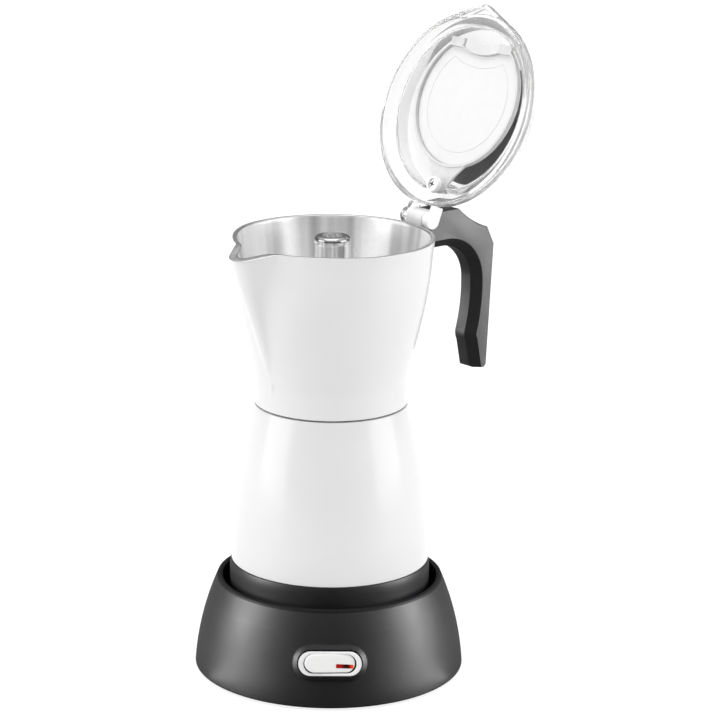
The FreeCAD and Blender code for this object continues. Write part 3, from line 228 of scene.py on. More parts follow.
# Where the groups of pieces are drawn
ON_AXIS = Matrix.Identity(4)
ON_POT = turned_by("Z", POT_ANGLE)
ON_PANEL = moved_by(0, -PANEL_REACH, PANEL_HEIGHT) @ turned_by("X", 90 - PANEL_LEAN)
ON_ROCKER = (ON_PANEL @ moved_by(0, 0, -ROCKER_PIVOT_DEPTH) @ turned_by("Y", ROCKER_TILT)
             @ moved_by(0, 0, ROCKER_PIVOT_DEPTH))
ON_LID = (ON_POT @ moved_by(HINGE_REACH, 0, HINGE_HEIGHT) @ turned_by("Y", LID_ANGLE)
          @ moved_by(-LID_REACH, 0, 0))
ON_GLAND = moved_by(0, GLAND_FACE, GLAND_HEIGHT) @ turned_by("X", -90)
TO_METRES = Matrix.Scale(MM, 4)
TO_MILLIMETRES = Matrix.Scale(1 / MM, 4)


# Outlines

def polar(radius, angle, *height):
    """The point at a radius and an angle, flat or at a height."""
    return Vector((radius * math.cos(angle), radius * math.sin(angle), *height))


def even_angles(count):
    return [2 * math.pi * index / count for index in range(count)]


def arc_points(start, end, bend, step):
    """Points between start and end on their short arc; a positive bend bulges to the right."""
    chord = end - start
    side = Vector((chord.y, -chord.x)).normalized() * math.copysign(1, bend)
    drop = math.sqrt(max(bend * bend - chord.length_squared / 4, 0))
    centre = (start + end) / 2 - side * drop
    first = start - centre
    sweep = 2 * math.asin(min(1, chord.length / 2 / abs(bend))) * math.copysign(1, bend)
    count = max(2, math.ceil(abs(sweep * bend) / step))
    points = []
    for index in range(1, count):
        angle = sweep * index / count
        cosine, sine = math.cos(angle), math.sin(angle)
        turned = Vector((first.x * cosine - first.y * sine, first.x * sine + first.y * cosine))
        points.append(centre + turned)
    return points


def straight_points(start, end, step):
    count = max(1, math.ceil((end - start).length / step))
    return [start.lerp(end, index / count) for index in range(1, count)]


def rounded_corner(before, spot, after, radius):
    """Points of the arc that takes the place of a sharp corner."""
    into = (spot - before).normalized()
    out = (after - spot).normalized()
    turn = into.angle(out)
    if turn < 0.02:
        return [spot]
    reach = radius * math.tan(turn / 2)
    left = into.x * out.y - into.y * out.x
    start = spot - into * reach
    end = spot + out * reach
    step = max(radius * turn / 5, 0.02)
    return [start] + arc_points(start, end, math.copysign(radius, left), step) + [end]


def traced(corners, closed=True, step=2.0):
    """Points along an outline. A corner is across, up, its rounding and the bend of the run to the next."""
    full = [(*corner, 0, 0)[:4] for corner in corners]
    spots = [Vector(corner[:2]) for corner in full]
    count = len(spots)
    runs = []
    for index in range(count if closed else count - 1):
        start, end, bend = spots[index], spots[(index + 1) % count], full[index][3]
        runs.append(arc_points(start, end, bend, step) if bend else straight_points(start, end, step))
    softened = []
    for index, spot in enumerate(spots):
        rounding = full[index][2]
        if rounding and (closed or 0 < index < count - 1):
            before = (runs[index - 1] or [spots[index - 1]])[-1]
            after = (runs[index] or [spots[(index + 1) % count]])[0]
            softened.append(rounded_corner(before, spot, after, rounding))
        else:
            softened.append([spot])
    points = []
    for index in range(count):
        points += softened[index]
        if index < len(runs):
            near, far = spots[index], spots[(index + 1) % count]
            near_reach = (softened[index][-1] - near).length * 1.1 + 0.02
            far_reach = (softened[(index + 1) % count][0] - far).length * 1.1 + 0.02
            points += [point for point in runs[index]
                       if (point - near).length > near_reach and (point - far).length > far_reach]
    return points


def stadium(length, width, angle):
    """The point of a stadium outline that lies in a direction from its middle."""
    half = (length - width) / 2
    radius = width / 2
    cosine, sine = math.cos(angle), math.sin(angle)
    if abs(sine) > 1e-9 and abs(radius * cosine / sine) <= half:
        return polar(radius / abs(sine), angle)
    return polar(half * abs(cosine) + math.sqrt(radius * radius - (half * sine) ** 2), angle)


def grown(points, amount):
    """A closed outline moved outwards by an amount; the outline runs to the left round its inside."""
    moved = []
    for index, point in enumerate(points):
        along = points[(index + 1) % len(points)] - points[index - 1]
        moved.append(point + Vector((along.y, -along.x)).normalized() * amount)
    return moved


def quarter_round(rounding, turns):
    """Inset and drop of a rounded edge, at turns in degrees from its flank to its face."""
    angles = [math.radians(turn) for turn in turns]
    return [(rounding * (1 - math.cos(angle)), rounding * (1 - math.sin(angle))) for angle in angles]


# Rows of points

def level(points, height):
    return [Vector((point.x, point.y, height)) for point in points]


def circle_row(radius, height, steps):
    return [polar(radius, angle, height) for angle in even_angles(steps)]


def stadium_row(length, width, height):
    return level([stadium(length, width, angle) for angle in even_angles(120)], height)


# Meshes

def strips(rows, closed=False, coat=0):
    """Four-sided faces, each with its coat, between rows of points."""
    faces = []
    for order in range(len(rows) if closed else len(rows) - 1):
        low, high = rows[order], rows[(order + 1) % len(rows)]
        chosen = coat(order) if callable(coat) else coat
        for index in range(len(low)):
            after = (index + 1) % len(low)
            faces.append((chosen, [low[index], low[after], high[after], high[index]]))
    return faces


def capped(rows):
    """Strips that are closed by a face at the first row and at the last."""
    return strips(rows) + [(0, rows[0]), (0, rows[-1])]


def made(name, faces, where, finishes, smooth_below=38):
    """A closed mesh object from loose faces, placed in the mesh, and shaded smooth between soft edges."""
    work = bmesh.new()
    for coat, points in faces:
        corners = [point for point, after in zip(points, [*points[1:], points[0]])
                   if (after - point).length > 1e-5]
        if len(corners) > 2:
            face = work.faces.new([work.verts.new(point) for point in corners])
            face.material_index = coat
    bmesh.ops.remove_doubles(work, verts=work.verts, dist=0.003)
    bmesh.ops.recalc_face_normals(work, faces=work.faces)
    work.transform(TO_METRES @ where)
    return shown(name, work, finishes, smooth_below)


def shown(name, work, finishes, smooth_below):
    mesh = bpy.data.meshes.new(name)
    work.to_mesh(mesh)
    work.free()
    mesh.shade_smooth()
    mesh.set_sharp_from_angle(angle=math.radians(smooth_below))
    for finish in finishes:
        mesh.materials.append(finish)
    return placed(name, mesh)


def placed(name, data):
    """A new object of the scene for a mesh, a lamp or a camera."""
    piece = bpy.data.objects.new(name, data)
    bpy.context.scene.collection.objects.link(piece)
    return piece


def stands_for(piece, node):
    """The piece takes a node's place, with the node's body."""
    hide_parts(node)
    return belongs(piece, BODY_OF[node])


def belongs(piece, body):
    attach(piece, body)
    return piece


def turned(name, profile, where, finishes, steps=192, coat=0, closed=True, swell=lambda *place: 0):
    """A piece turned about its axis from its profile; swell moves the radius by angle and height."""
    rows = []
    for point in profile:
        rows.append([polar(point.x + swell(angle, point.x, point.y), angle, point.y)
                     for angle in even_angles(steps)])
    chosen = (lambda order: coat(profile[order])) if callable(coat) else coat
    return made(name, strips(rows, closed, chosen), where, finishes)


def cut_slab(name, outline, low, high, rounding, where, finishes):
    """A flat piece of any outline with rounded upper and lower edges."""
    edge = quarter_round(rounding, (90, 60, 30, 0))
    rows = [level(grown(outline, -inset), low + drop) for inset, drop in edge]
    rows += [level(grown(outline, -inset), high - drop) for inset, drop in reversed(edge)]
    return made(name, capped(rows), where, finishes)


def softened_copy(name, node, finish, edge):
    """A CAD node's own shape with its edges rounded and its curved faces shaded smooth."""
    work = bmesh.new()
    work.from_mesh(frame["nodes"][node].data)
    bmesh.ops.remove_doubles(work, verts=work.verts, dist=2e-6)
    bmesh.ops.dissolve_limit(work, angle_limit=math.radians(0.6), verts=work.verts, edges=work.edges)
    piece = shown(name, work, [finish], 30)
    rounding = piece.modifiers.new("rounding", "BEVEL")
    rounding.width = edge * MM
    rounding.segments = 3
    rounding.limit_method = "ANGLE"
    rounding.angle_limit = math.radians(32)
    return stands_for(piece, node)


# Nodes of finishes

def wired(tree, kind, settings=(), **inputs):
    """A new node with its settings and its inputs."""
    node = tree.nodes.new(kind)
    for name, value in dict(settings).items():
        setattr(node, name, value)
    return fed(tree, node, **inputs)


def fed(tree, node, **inputs):
    """Sets a node's inputs, each a number or colour, or another node's output to link."""
    for name, value in inputs.items():
        socket = node.inputs[name.replace("_", " ")]
        if isinstance(value, bpy.types.NodeSocket):
            tree.links.new(value, socket)
        else:
            socket.default_value = value
    return node


def grain(scale, detail, stretch=(1, 1, 1)):
    """A noise on the object's own coordinates, finer for a larger scale."""
    def build(tree):
        place = wired(tree, "ShaderNodeTexCoord").outputs["Object"]
        spread = wired(tree, "ShaderNodeMapping", Vector=place, Scale=stretch).outputs["Vector"]
        return wired(tree, "ShaderNodeTexNoise", Vector=spread, Scale=scale, Detail=detail).outputs["Fac"]
    return build


def streaks(scale, detail, start=0.0):
    """A noise that only changes round the pot's axis, so that it stands as streaks up a wall."""
    def build(tree):
        place = wired(tree, "ShaderNodeTexCoord").outputs["Object"]
        flat = wired(tree, "ShaderNodeMapping", Vector=place, Scale=(1, 1, 0)).outputs["Vector"]
        even = wired(tree, "ShaderNodeVectorMath", {"operation": "NORMALIZE"}, Vector=flat).outputs["Vector"]
        shift = wired(tree, "ShaderNodeMapping", Vector=even, Location=(start, 0, 0)).outputs["Vector"]
        return wired(tree, "ShaderNodeTexNoise", Vector=shift, Scale=scale, Detail=detail).outputs["Fac"]
    return build


def between(tree, source, low, high, start=0.3, end=0.7, style="LINEAR"):
    """The source spread out between two numbers."""
    spread = wired(tree, "ShaderNodeMapRange", {"interpolation_type": style}, Value=source,
                   From_Min=start, From_Max=end, To_Min=low, To_Max=high)
    return spread.outputs["Result"]


def mixed(tree, share, dark, light):
    """A colour between two; a single number stands for a grey."""
    ends = []
    for colour in (dark, light):
        if isinstance(colour, float):
            colour = (colour, colour, colour)
        ends.append((*colour, 1) if isinstance(colour, tuple) else colour)
    mix = wired(tree, "ShaderNodeMix", {"data_type": "RGBA"}, Factor=share, A=ends[0], B=ends[1])
    return mix.outputs["Result"]


def finished(name, tone, gloss, bump=None, **sockets):
    """A procedural finish. Tone is a noise, two colours and where it turns from one to the other, gloss a
    noise and two roughnesses, and bump a noise, a depth in millimetres and a strength."""
    finish = bpy.data.materials.new(name)
    finish.use_nodes = True
    tree = finish.node_tree
    built = {}

    def source(noise):
        if noise not in built:
            built[noise] = noise(tree)
        return built[noise]

    if callable(tone):
        sockets["Base_Color"] = tone(tree)
    elif tone:
        noise, dark, light, *turns = tone
        sockets["Base_Color"] = mixed(tree, between(tree, source(noise), 0, 1, *turns), dark, light)
    if gloss:
        noise, low, high = gloss
        sockets["Roughness"] = between(tree, source(noise), low, high)
    if bump:
        noise, depth, strength = bump
        raised = wired(tree, "ShaderNodeBump", Height=source(noise), Distance=depth * MM, Strength=strength)
        sockets["Normal"] = raised.outputs["Normal"]
    fed(tree, tree.nodes["Principled BSDF"], **sockets)
    return finish


# Finishes

def black_plastic(name="black_plastic", shine=0.21):
    """Fine spark-eroded black plastic."""
    fine = grain(2600, 2)
    return finished(name, (fine, (0.0035, 0.0035, 0.004), (0.009, 0.009, 0.0095)),
                    (grain(60, 3), 0.42, 0.48), (fine, 0.045, 0.9), Specular_IOR_Level=shine)


def white_paint():
    """Satin white stoved paint with a faint orange peel."""
    cloud = grain(25, 4)
    return finished("white_paint", (cloud, 0.625, 0.65), (cloud, 0.27, 0.34), (grain(420, 2), 0.02, 0.25),
                    Coat_Weight=0.35, Coat_Roughness=0.12)


def aluminium_painted_reflections():
    """Turned and fine-blasted aluminium, its colour painted with broad soft light and dark streaks up its
    wall that stand for reflections.
    """
    fine = grain(3600, 2)
    # Painted reflections: the streaks turn the colour from 0.5 to 0.94 round the axis
    return finished("aluminium_painted_reflections", (streaks(3.4, 2.2), 0.5, 0.94, 0.38, 0.58), (fine, 0.26, 0.38),
                    (fine, 0.02, 0.5), Metallic=0.6)


def brushed_steel():
    line = grain(260, 3, (1, 1, 14))
    return finished("brushed_steel", (line, 0.66, 0.9), (line, 0.16, 0.3), (line, 0.015, 0.4), Metallic=1)


def column_steel_painted_reflections():
    """Polished tube, its colour painted with bright and dark streaks up its side that stand for reflections.
    """
    streak = streaks(1.7, 1.5, 4.0)
    # Painted reflections: colour from 0.4 to 0.99 in streaks round the tube
    return finished("column_steel_painted_reflections", (streak, 0.4, 0.99, 0.4, 0.6), (streak, 0.14, 0.24), Metallic=1)


def lip_painted_dark_reflection():
    """The bare cast edge of the jug, its colour a little darker than its bright inside as a painted dark
    reflection.
    """
    cast = grain(1200, 3)
    return finished("lip_painted_dark_reflection", (cast, 0.36, 0.48), (cast, 0.26, 0.4), (cast, 0.02, 0.4), Metallic=1)


def chrome(name="chrome", low=0.78, high=0.83):
    haze = grain(300, 4)
    return finished(name, (haze, low, high), (haze, 0.05, 0.11), Metallic=1)


def white_switch():
    cloud = grain(300, 3)
    return finished("white_switch", (cloud, (0.685, 0.685, 0.68), (0.7, 0.7, 0.695)), (cloud, 0.29, 0.33),
                    (grain(2200, 2), 0.012, 0.3))


def lens_painted_shade_and_light(tree):
    """Red, with painted shade in the middle where the lamp stands behind it, and painted light at the right
    end.
    """
    place = wired(tree, "ShaderNodeTexCoord").outputs["Object"]
    lamp = (-(LENS_ACROSS + LAMP_ASIDE) * MM, 0, 0)
    moved = wired(tree, "ShaderNodeMapping", Vector=place, Location=lamp).outputs["Vector"]
    across = wired(tree, "ShaderNodeSeparateXYZ", Vector=moved).outputs["X"]
    away = wired(tree, "ShaderNodeMath", {"operation": "ABSOLUTE"}, Value=across).outputs["Value"]
    # Painted shade: darker red near the lamp behind the lens
    near = mixed(tree, between(tree, away, 0, 1, 1 * MM, 3 * MM), (0.03, 0.002, 0.002), (0.3, 0.004, 0.002))
    # Painted light: bright red towards the lens's right end
    return mixed(tree, between(tree, across, 0, 1, 1.6 * MM, 3.6 * MM), near, (0.95, 0.07, 0.01))


def red_lens():
    """Clear red window of the switch."""
    # Its colour carries painted shade round the lamp and painted light at its right end
    return finished("red_lens", lens_painted_shade_and_light, (grain(900, 2), 0.08, 0.16), Specular_IOR_Level=0.2)


def clear_plastic():
    """Clear lid plastic with a milky bloom in its thickness."""
    return finished("clear_plastic", None, (grain(180, 3), 0.03, 0.08), (grain(60, 2), 0.03, 0.1),
                    Base_Color=(0.96, 0.96, 0.96, 1), Transmission_Weight=0.86, IOR=1.27)


def frosted_plastic(name="frosted_plastic", low=0.655, high=0.67):
    """Milky white plastic that lets a little light through."""
    cloud = grain(200, 3)
    return finished(name, (cloud, low, high), (cloud, 0.3, 0.42), (grain(1500, 2), 0.01, 0.3),
                    Subsurface_Weight=0.3, Subsurface_Radius=(0.004, 0.004, 0.004))


def plate_plastic():
    """Matt dark grey plastic of the plate on the lid's roof."""
    fine = grain(2200, 2)
    return finished("plate_plastic", (fine, 0.03, 0.055), (fine, 0.5, 0.62), (fine, 0.03, 0.5))


def plain_metal(name, dark, light, low, high):
    """A cast or pressed metal with a fine grain."""
    cast = grain(700, 4)
    return finished(name, (cast, dark, light), (cast, low, high), (cast, 0.02, 0.3), Metallic=1)


def soft_rubber(name, dark, light, low=0.55, high=0.7):
    fine = grain(900, 3)
    return finished(name, (fine, dark, light), (fine, low, high), (fine, 0.03, 0.4))


BLACK = black_plastic()
HANDLE_BLACK = black_plastic("handle_plastic", 0.23)
COLLAR_BLACK = black_plastic("collar_plastic", 0.19)
WELL_BLACK = black_plastic("well_plastic", 0.05)
BLACKS = (BLACK, HANDLE_BLACK, COLLAR_BLACK, WELL_BLACK)
WHITE = white_paint()
ALUMINIUM_PAINTED_REFLECTIONS = aluminium_painted_reflections()
STEEL = brushed_steel()
COLUMN_STEEL_PAINTED_REFLECTIONS = column_steel_painted_reflections()
CHROME = chrome()
# Painted reflection: a darker chrome that stands for the dark room seen in the cap's upper faces
PAINTED_DARK_REFLECTION_CHROME = chrome("chrome_painted_dark_reflection", 0.24, 0.32)
# Painted dark reflection on the jug's lip
LIP = lip_painted_dark_reflection()
SWITCH_WHITE = white_switch()
RED = red_lens()
CLEAR = clear_plastic()
MILKY = frosted_plastic()
FRAME_MILKY = frosted_plastic("frame_plastic", 0.56, 0.62)
EAR_MILKY = frosted_plastic("ear_plastic", 0.8, 0.85)
PLATE_BLACK = plate_plastic()
# Painted shade: near-black metal for the inside of the screws' cross recesses
RECESS = plain_metal("recess_painted_shade", 0.04, 0.08, 0.4, 0.55)

SLOT_FINISHES = {
    "black_plastic": BLACK,
    "white_switch": SWITCH_WHITE,
    "red_lens": RED,
    "white_paint": WHITE,
    "aluminium": ALUMINIUM_PAINTED_REFLECTIONS,
    "steel": STEEL,
    "chrome": CHROME,
    "brass": plain_metal("brass", (0.52, 0.38, 0.14), (0.68, 0.52, 0.22), 0.25, 0.4),
    "silicone": soft_rubber("silicone", (0.72, 0.70, 0.66), (0.8, 0.79, 0.75)),
    "dark_rubber": soft_rubber("dark_rubber", 0.02, 0.035),
    "clear_plastic": CLEAR,
    "frosted_plastic": MILKY,
    "lead_cover": soft_rubber("lead_cover", (0.12, 0.07, 0.04), (0.2, 0.12, 0.07), 0.4, 0.55),
    "ceramic": soft_rubber("ceramic", (0.7, 0.68, 0.62), (0.8, 0.78, 0.72), 0.35, 0.5),
}


def finish_inner_nodes():
    """Every node of the frame takes the finish of its own slot."""
    for node, slot in SLOT_OF.items():
        coats = frame["nodes"][node].data.materials
        coats.clear()
        coats.append(SLOT_FINISHES[slot])


# Base

def arc_radius(low, high, bend, height):
    """Radius at a height on the outward arc between two points of a profile."""
    chord = high - low
    inwards = Vector((-chord.y, chord.x)).normalized()
    centre = (low + high) / 2 + inwards * math.sqrt(bend * bend - chord.length_squared / 4)
    return centre.x + math.sqrt(bend * bend - (height - centre.y) ** 2)


FLANK_FOOT = Vector((BASE_RADIUS, FOOT_HEIGHT))
FLANK_TOP = Vector((BASE_LIP_RADIUS, BASE_HEIGHT - LIP_ROUND))
INNER_FOOT = Vector((BASE_RADIUS - BASE_WALL, FOOT_HEIGHT))
INNER_TOP = Vector((CAVITY_ROOF_RADIUS, CAVITY_ROOF))
WINDOW_LOW = 4.0
WINDOW_HIGH = 40.5
FLANK_COLUMNS = 288
FLANK_STEP = 2 * math.pi / FLANK_COLUMNS
FLANK_ROWS = 26
FLANK_RISE = WINDOW_HIGH - WINDOW_LOW
FLANK_HEIGHTS = [WINDOW_LOW + FLANK_RISE * row / FLANK_ROWS for row in range(FLANK_ROWS + 1)]


def outer_flank(height):
    return arc_radius(FLANK_FOOT, FLANK_TOP, BASE_FLANK_BEND, height)


def inner_flank(height):
    return arc_radius(INNER_FOOT, INNER_TOP, BASE_FLANK_BEND - BASE_WALL, height)


def from_front(radius, angle, height):
    return Vector((radius * math.sin(angle), -radius * math.cos(angle), height))


def sunk_to_flank(where, spot, flank):
    """How deep under a window's plane the flank lies at a spot of that plane."""
    low, high = -6.0, 40.0
    for _ in range(40):
        depth = (low + high) / 2
        point = where @ Vector((spot.x, spot.y, -depth))
        if math.hypot(point.x, point.y) > flank(point.z):
            low = depth
        else:
            high = depth
    return depth


def flank_window(middle, columns, rings, where, mouth, hole):
    """A patch of the flank round an opening, with its edge's steps and their directions from the opening."""
    half = columns // 2
    edge = [(half, row) for row in range(FLANK_ROWS)]
    edge += [(half - column, FLANK_ROWS) for column in range(columns)]
    edge += [(-half, FLANK_ROWS - row) for row in range(FLANK_ROWS)]
    edge += [(column - half, 0) for column in range(columns)]
    back = where.inverted()
    angles = []
    for column, row in edge:
        height = FLANK_HEIGHTS[row]
        point = back @ from_front(outer_flank(height), (middle + column) * FLANK_STEP, height)
        angles.append(math.atan2(point.y, point.x))
    return {"middle": middle, "half": half, "rings": rings, "where": where, "edge": edge, "angles": angles,
            "mouth": mouth, "hole": hole}


def window_row(window, outline, depth):
    """Points round a window at a depth under its plane; a flank given as the depth is met where it lies."""
    row = []
    for angle in window["angles"]:
        spot = outline(angle)
        sunk = sunk_to_flank(window["where"], spot, depth) if callable(depth) else depth
        row.append(window["where"] @ Vector((spot.x, spot.y, -sunk)))
    return row


def flank_faces(flank, windows, opening):
    """The faces of one flank, with a patch of rings round each window's mouth or hole."""
    covered = {(window["middle"] + column) % FLANK_COLUMNS
               for window in windows for column in range(-window["half"], window["half"])}
    faces = []
    for column in range(FLANK_COLUMNS):
        if column in covered:
            continue
        left, right = column * FLANK_STEP, (column + 1) * FLANK_STEP
        for low, high in zip(FLANK_HEIGHTS, FLANK_HEIGHTS[1:]):
            spots = ((left, low), (right, low), (right, high), (left, high))
            faces.append((0, [from_front(flank(height), angle, height) for angle, height in spots]))
    for window in windows:
        turn = window["middle"] * FLANK_STEP
        to_front = turned_by("Z", -math.degrees(turn))
        outer = [(column * FLANK_STEP, FLANK_HEIGHTS[row]) for column, row in window["edge"]]
        inner = []
        for point in window_row(window, window[opening], flank):
            point = to_front @ point
            inner.append((math.atan2(point.x, -point.y), point.z))
        rings = []
        for ring in range(window["rings"] + 1):
            share = (ring / window["rings"]) ** 0.8
            row = []
            for (angle, height), (end_angle, end_height) in zip(outer, inner):
                height += (end_height - height) * share
                row.append(from_front(flank(height), turn + angle + (end_angle - angle) * share, height))
            rings.append(row)
        faces += strips(rings)
    return faces


def bezel(grow):
    return lambda angle: stadium(BEZEL_LENGTH + 2 * grow, BEZEL_WIDTH + 2 * grow, angle)


def switch_hole(angle):
    return stadium(SWITCH_HOLE_LENGTH, SWITCH_HOLE_WIDTH, angle)


def round_hole(radius):
    return lambda angle: polar(radius, angle)


def bezel_rows(window):
    """The raised bezel: foot on the flank, side, slope, recess for the frame and the switch's hole."""
    foot = bezel(BEZEL_FOOT / 2)
    depths = [sunk_to_flank(ON_PANEL, foot(angle), outer_flank) for angle in window["angles"]]
    rows = [window_row(window, foot, outer_flank)]
    steps = 10
    for index in range(1, steps + 1):
        share = index / steps
        row = []
        for angle, depth in zip(window["angles"], depths):
            lift = depth * (1 - share) + 0.1 * share
            spot = bezel(BEZEL_FOOT * 0.4 * (1 - share) ** 8 - max(0, BEZEL_SLOPE - lift))(angle)
            row.append(ON_PANEL @ Vector((spot.x, spot.y, -lift)))
        rows.append(row)
    for inset, depth in ((0.08, 0), (0, 0.08), (0, 0.5), (0, FRAME_THICKNESS)):
        rows.append(window_row(window, bezel(inset - BEZEL_RECESS_INSET), depth))
    return rows + [window_row(window, switch_hole, depth) for depth in (FRAME_THICKNESS, inner_flank)]


def gland_rows(window):
    """The round pad for the mains gland and the hole through it."""
    pad, hole = GLAND_PAD_RADIUS, GLAND_HOLE_RADIUS
    levels = ((pad + 0.4, outer_flank), (pad, 0.4), (pad - 0.12, 0.12), (pad - 0.4, 0),
              (hole, 0), (hole, inner_flank))
    return [window_row(window, round_hole(radius), depth) for radius, depth in levels]


def base_casing():
    """Base shell with its leaning switch bezel, the gland's pad, the lip and the well."""
    switch = flank_window(middle=0, columns=40, rings=9, where=ON_PANEL,
                          mouth=bezel(BEZEL_FOOT / 2), hole=switch_hole)
    gland = flank_window(middle=FLANK_COLUMNS // 2, columns=20, rings=7, where=ON_GLAND,
                         mouth=round_hole(GLAND_PAD_RADIUS + 0.4), hole=round_hole(GLAND_HOLE_RADIUS))
    faces = flank_faces(outer_flank, [switch, gland], "mouth")
    faces += flank_faces(inner_flank, [switch, gland], "hole")
    faces += strips(bezel_rows(switch))
    faces += strips(gland_rows(gland))

    lip_foot = BASE_HEIGHT - LIP_ROUND
    upper = traced([
        (outer_flank(WINDOW_HIGH), WINDOW_HIGH),
        (BASE_LIP_RADIUS, lip_foot, 0, LIP_ROUND),
        (BASE_LIP_RADIUS - LIP_ROUND, BASE_HEIGHT),
        (WELL_RADIUS + LIP_ROUND, BASE_HEIGHT, 0, LIP_ROUND),
        (WELL_RADIUS, lip_foot),
        (WELL_RADIUS, WELL_FLOOR, 1.2),
        (SOCKET_RADIUS + 0.2, WELL_FLOOR, 0.5),
        (SOCKET_RADIUS + 0.2, WELL_FLOOR - BASE_WALL, 0.3),
        (WELL_RADIUS + BASE_WALL, WELL_FLOOR - BASE_WALL, 0.8),
        (WELL_RADIUS + BASE_WALL, CAVITY_ROOF, 0.4),
        (INNER_TOP.x, INNER_TOP.y, 0.2),
        (inner_flank(WINDOW_HIGH), WINDOW_HIGH),
    ], closed=False, step=2.4)
    bend = arc_points(upper[0], FLANK_TOP, BASE_FLANK_BEND, 1.5)
    upper = [upper[0], *bend] + [point for point in upper
                                 if point.x <= BASE_LIP_RADIUS + 1e-6 or point.y < WINDOW_HIGH + 3]
    lower = traced([
        (inner_flank(WINDOW_LOW), WINDOW_LOW),
        (INNER_FOOT.x, INNER_FOOT.y, 0.3),
        (FLANK_FOOT.x, FLANK_FOOT.y, 0.8),
        (outer_flank(WINDOW_LOW), WINDOW_LOW),
    ], closed=False, step=1.5)
    for profile in (upper, lower):
        faces += strips([[from_front(point.x, angle, point.y) for angle in even_angles(FLANK_COLUMNS)]
                         for point in profile])
    piece = made("base_casing", faces, ON_AXIS, [BLACK, WELL_BLACK])
    for face in piece.data.polygons:
        middle = face.center / MM
        in_well = middle.z > WELL_FLOOR - 1 and middle.xy.length < WELL_RADIUS + 1
        if in_well or middle.z > BASE_HEIGHT - LIP_ROUND * 0.7:
            face.material_index = 1
    stands_for(piece, "base_shell")


def rocker_frame():
    """White frame round the rocker."""
    rows = []
    for inset, drop in quarter_round(0.6, (0, 22, 45, 67, 90)):
        rows.append(stadium_row(FRAME_LENGTH - 2 * inset, FRAME_WIDTH - 2 * inset, -drop))
    for inset, drop in quarter_round(0.3, (90, 45, 0)):
        rows.append(stadium_row(ROCKER_OPENING_LENGTH + 2 * inset, ROCKER_OPENING_WIDTH + 2 * inset, -drop))
    rows.append(stadium_row(ROCKER_OPENING_LENGTH + 0.7, ROCKER_OPENING_WIDTH, -FRAME_THICKNESS))
    rows.append(stadium_row(FRAME_LENGTH, FRAME_WIDTH, -FRAME_THICKNESS))
    lower = ON_PANEL @ moved_by(0, -FRAME_DROP, 0)
    piece = made("rocker_frame_moulding", strips(rows, closed=True), lower, [SWITCH_WHITE])
    stands_for(piece, "rocker_frame")


def rocker():
    """White rocker with a soft saddle, whose ends are shaped by its swing in the frame."""
    half = ROCKER_LENGTH / 2
    rows = [stadium_row(ROCKER_LENGTH, ROCKER_WIDTH, -ROCKER_DEPTH)]
    for inset, drop in quarter_round(ROCKER_ROUND, (0, 22, 45, 67, 90)):
        rows.append(stadium_row(ROCKER_LENGTH - 2 * inset, ROCKER_WIDTH - 2 * inset, ROCKER_PROUD - drop))
    for share in (0.75, 0.5, 0.25, 0.05):
        rows.append(stadium_row((ROCKER_LENGTH - 2 * ROCKER_ROUND) * share + 0.1,
                                (ROCKER_WIDTH - 2 * ROCKER_ROUND) * share, ROCKER_PROUD))
    for row in rows[3:]:
        for point in row:
            point.z -= ROCKER_SADDLE * (1 - (point.x / half) ** 2)
    for row in rows:
        for point in row:
            swing = math.sqrt(ROCKER_SWING ** 2 - (point.z + ROCKER_PIVOT_DEPTH) ** 2) - half
            share = max(0, (abs(point.x) - ROCKER_STRAIGHT_HALF) / (half - ROCKER_STRAIGHT_HALF))
            point.x += share * (min(swing, ROCKER_RIGHT_CUT) if point.x > 0 else -swing)
    stands_for(made("rocker", capped(rows), ON_ROCKER, [SWITCH_WHITE]), "rocker_button")


def red_window():
    """The lens in the rocker, a little askew."""
    across, up = LENS_LENGTH / 2, LENS_WIDTH / 2
    outline = traced([(LENS_ACROSS + side * across, LENS_UP + rise * up, 0.3)
                      for side, rise in ((-1, -1), (1, -1), (1, 1), (-1, 1))], step=1.0)
    slanted = (ON_ROCKER @ moved_by(LENS_ACROSS, LENS_UP, 0) @ turned_by("Z", LENS_TURN)
               @ moved_by(-LENS_ACROSS, -LENS_UP, 0))
    piece = cut_slab("red_window", outline, ROCKER_PROUD - 1.4, ROCKER_PROUD + 0.02, 0.12, slanted, [RED])
    stands_for(piece, "rocker_lens")


# Pot

def black_collar():
    profile = traced([
        (PLUG_HOLE_RADIUS, COLLAR_BOTTOM, 0.4),
        (FOOT_RING_INNER, COLLAR_BOTTOM, 0.3),
        (FOOT_RING_INNER, FOOT_RING_TOP, 0.3),
        (FOOT_RING_OUTER, FOOT_RING_TOP, 0.3),
        (FOOT_RING_OUTER, COLLAR_BOTTOM, 0.3),
        (COLLAR_RADIUS - 1, COLLAR_BOTTOM, 0.6),
        (COLLAR_RADIUS, COLLAR_BOTTOM + 1, 0.6),
        (COLLAR_RADIUS, COLLAR_SHOULDER, 0, 20),
        (COLLAR_RADIUS - 0.6, COLLAR_TOP, 0.35),
        (COLLAR_INNER_RADIUS, COLLAR_TOP, 0.2),
        (COLLAR_INNER_RADIUS, COLLAR_FLOOR_TOP, 0.5),
        (PLUG_HOLE_RADIUS, COLLAR_FLOOR_TOP, 0.3),
    ])
    stands_for(turned("boiler_collar", profile, ON_POT, [COLLAR_BLACK]), "pot_collar")


def thread(angle, height, start):
    """How far the thread's flank stands back at an angle and height, from 0 on its crest to 1."""
    phase = (height - start) / THREAD_PITCH - angle / (2 * math.pi)
    share = abs((phase % 1.0) - 0.5) * 2
    return min(1.0, max(0.0, 1.6 * share - 0.3))


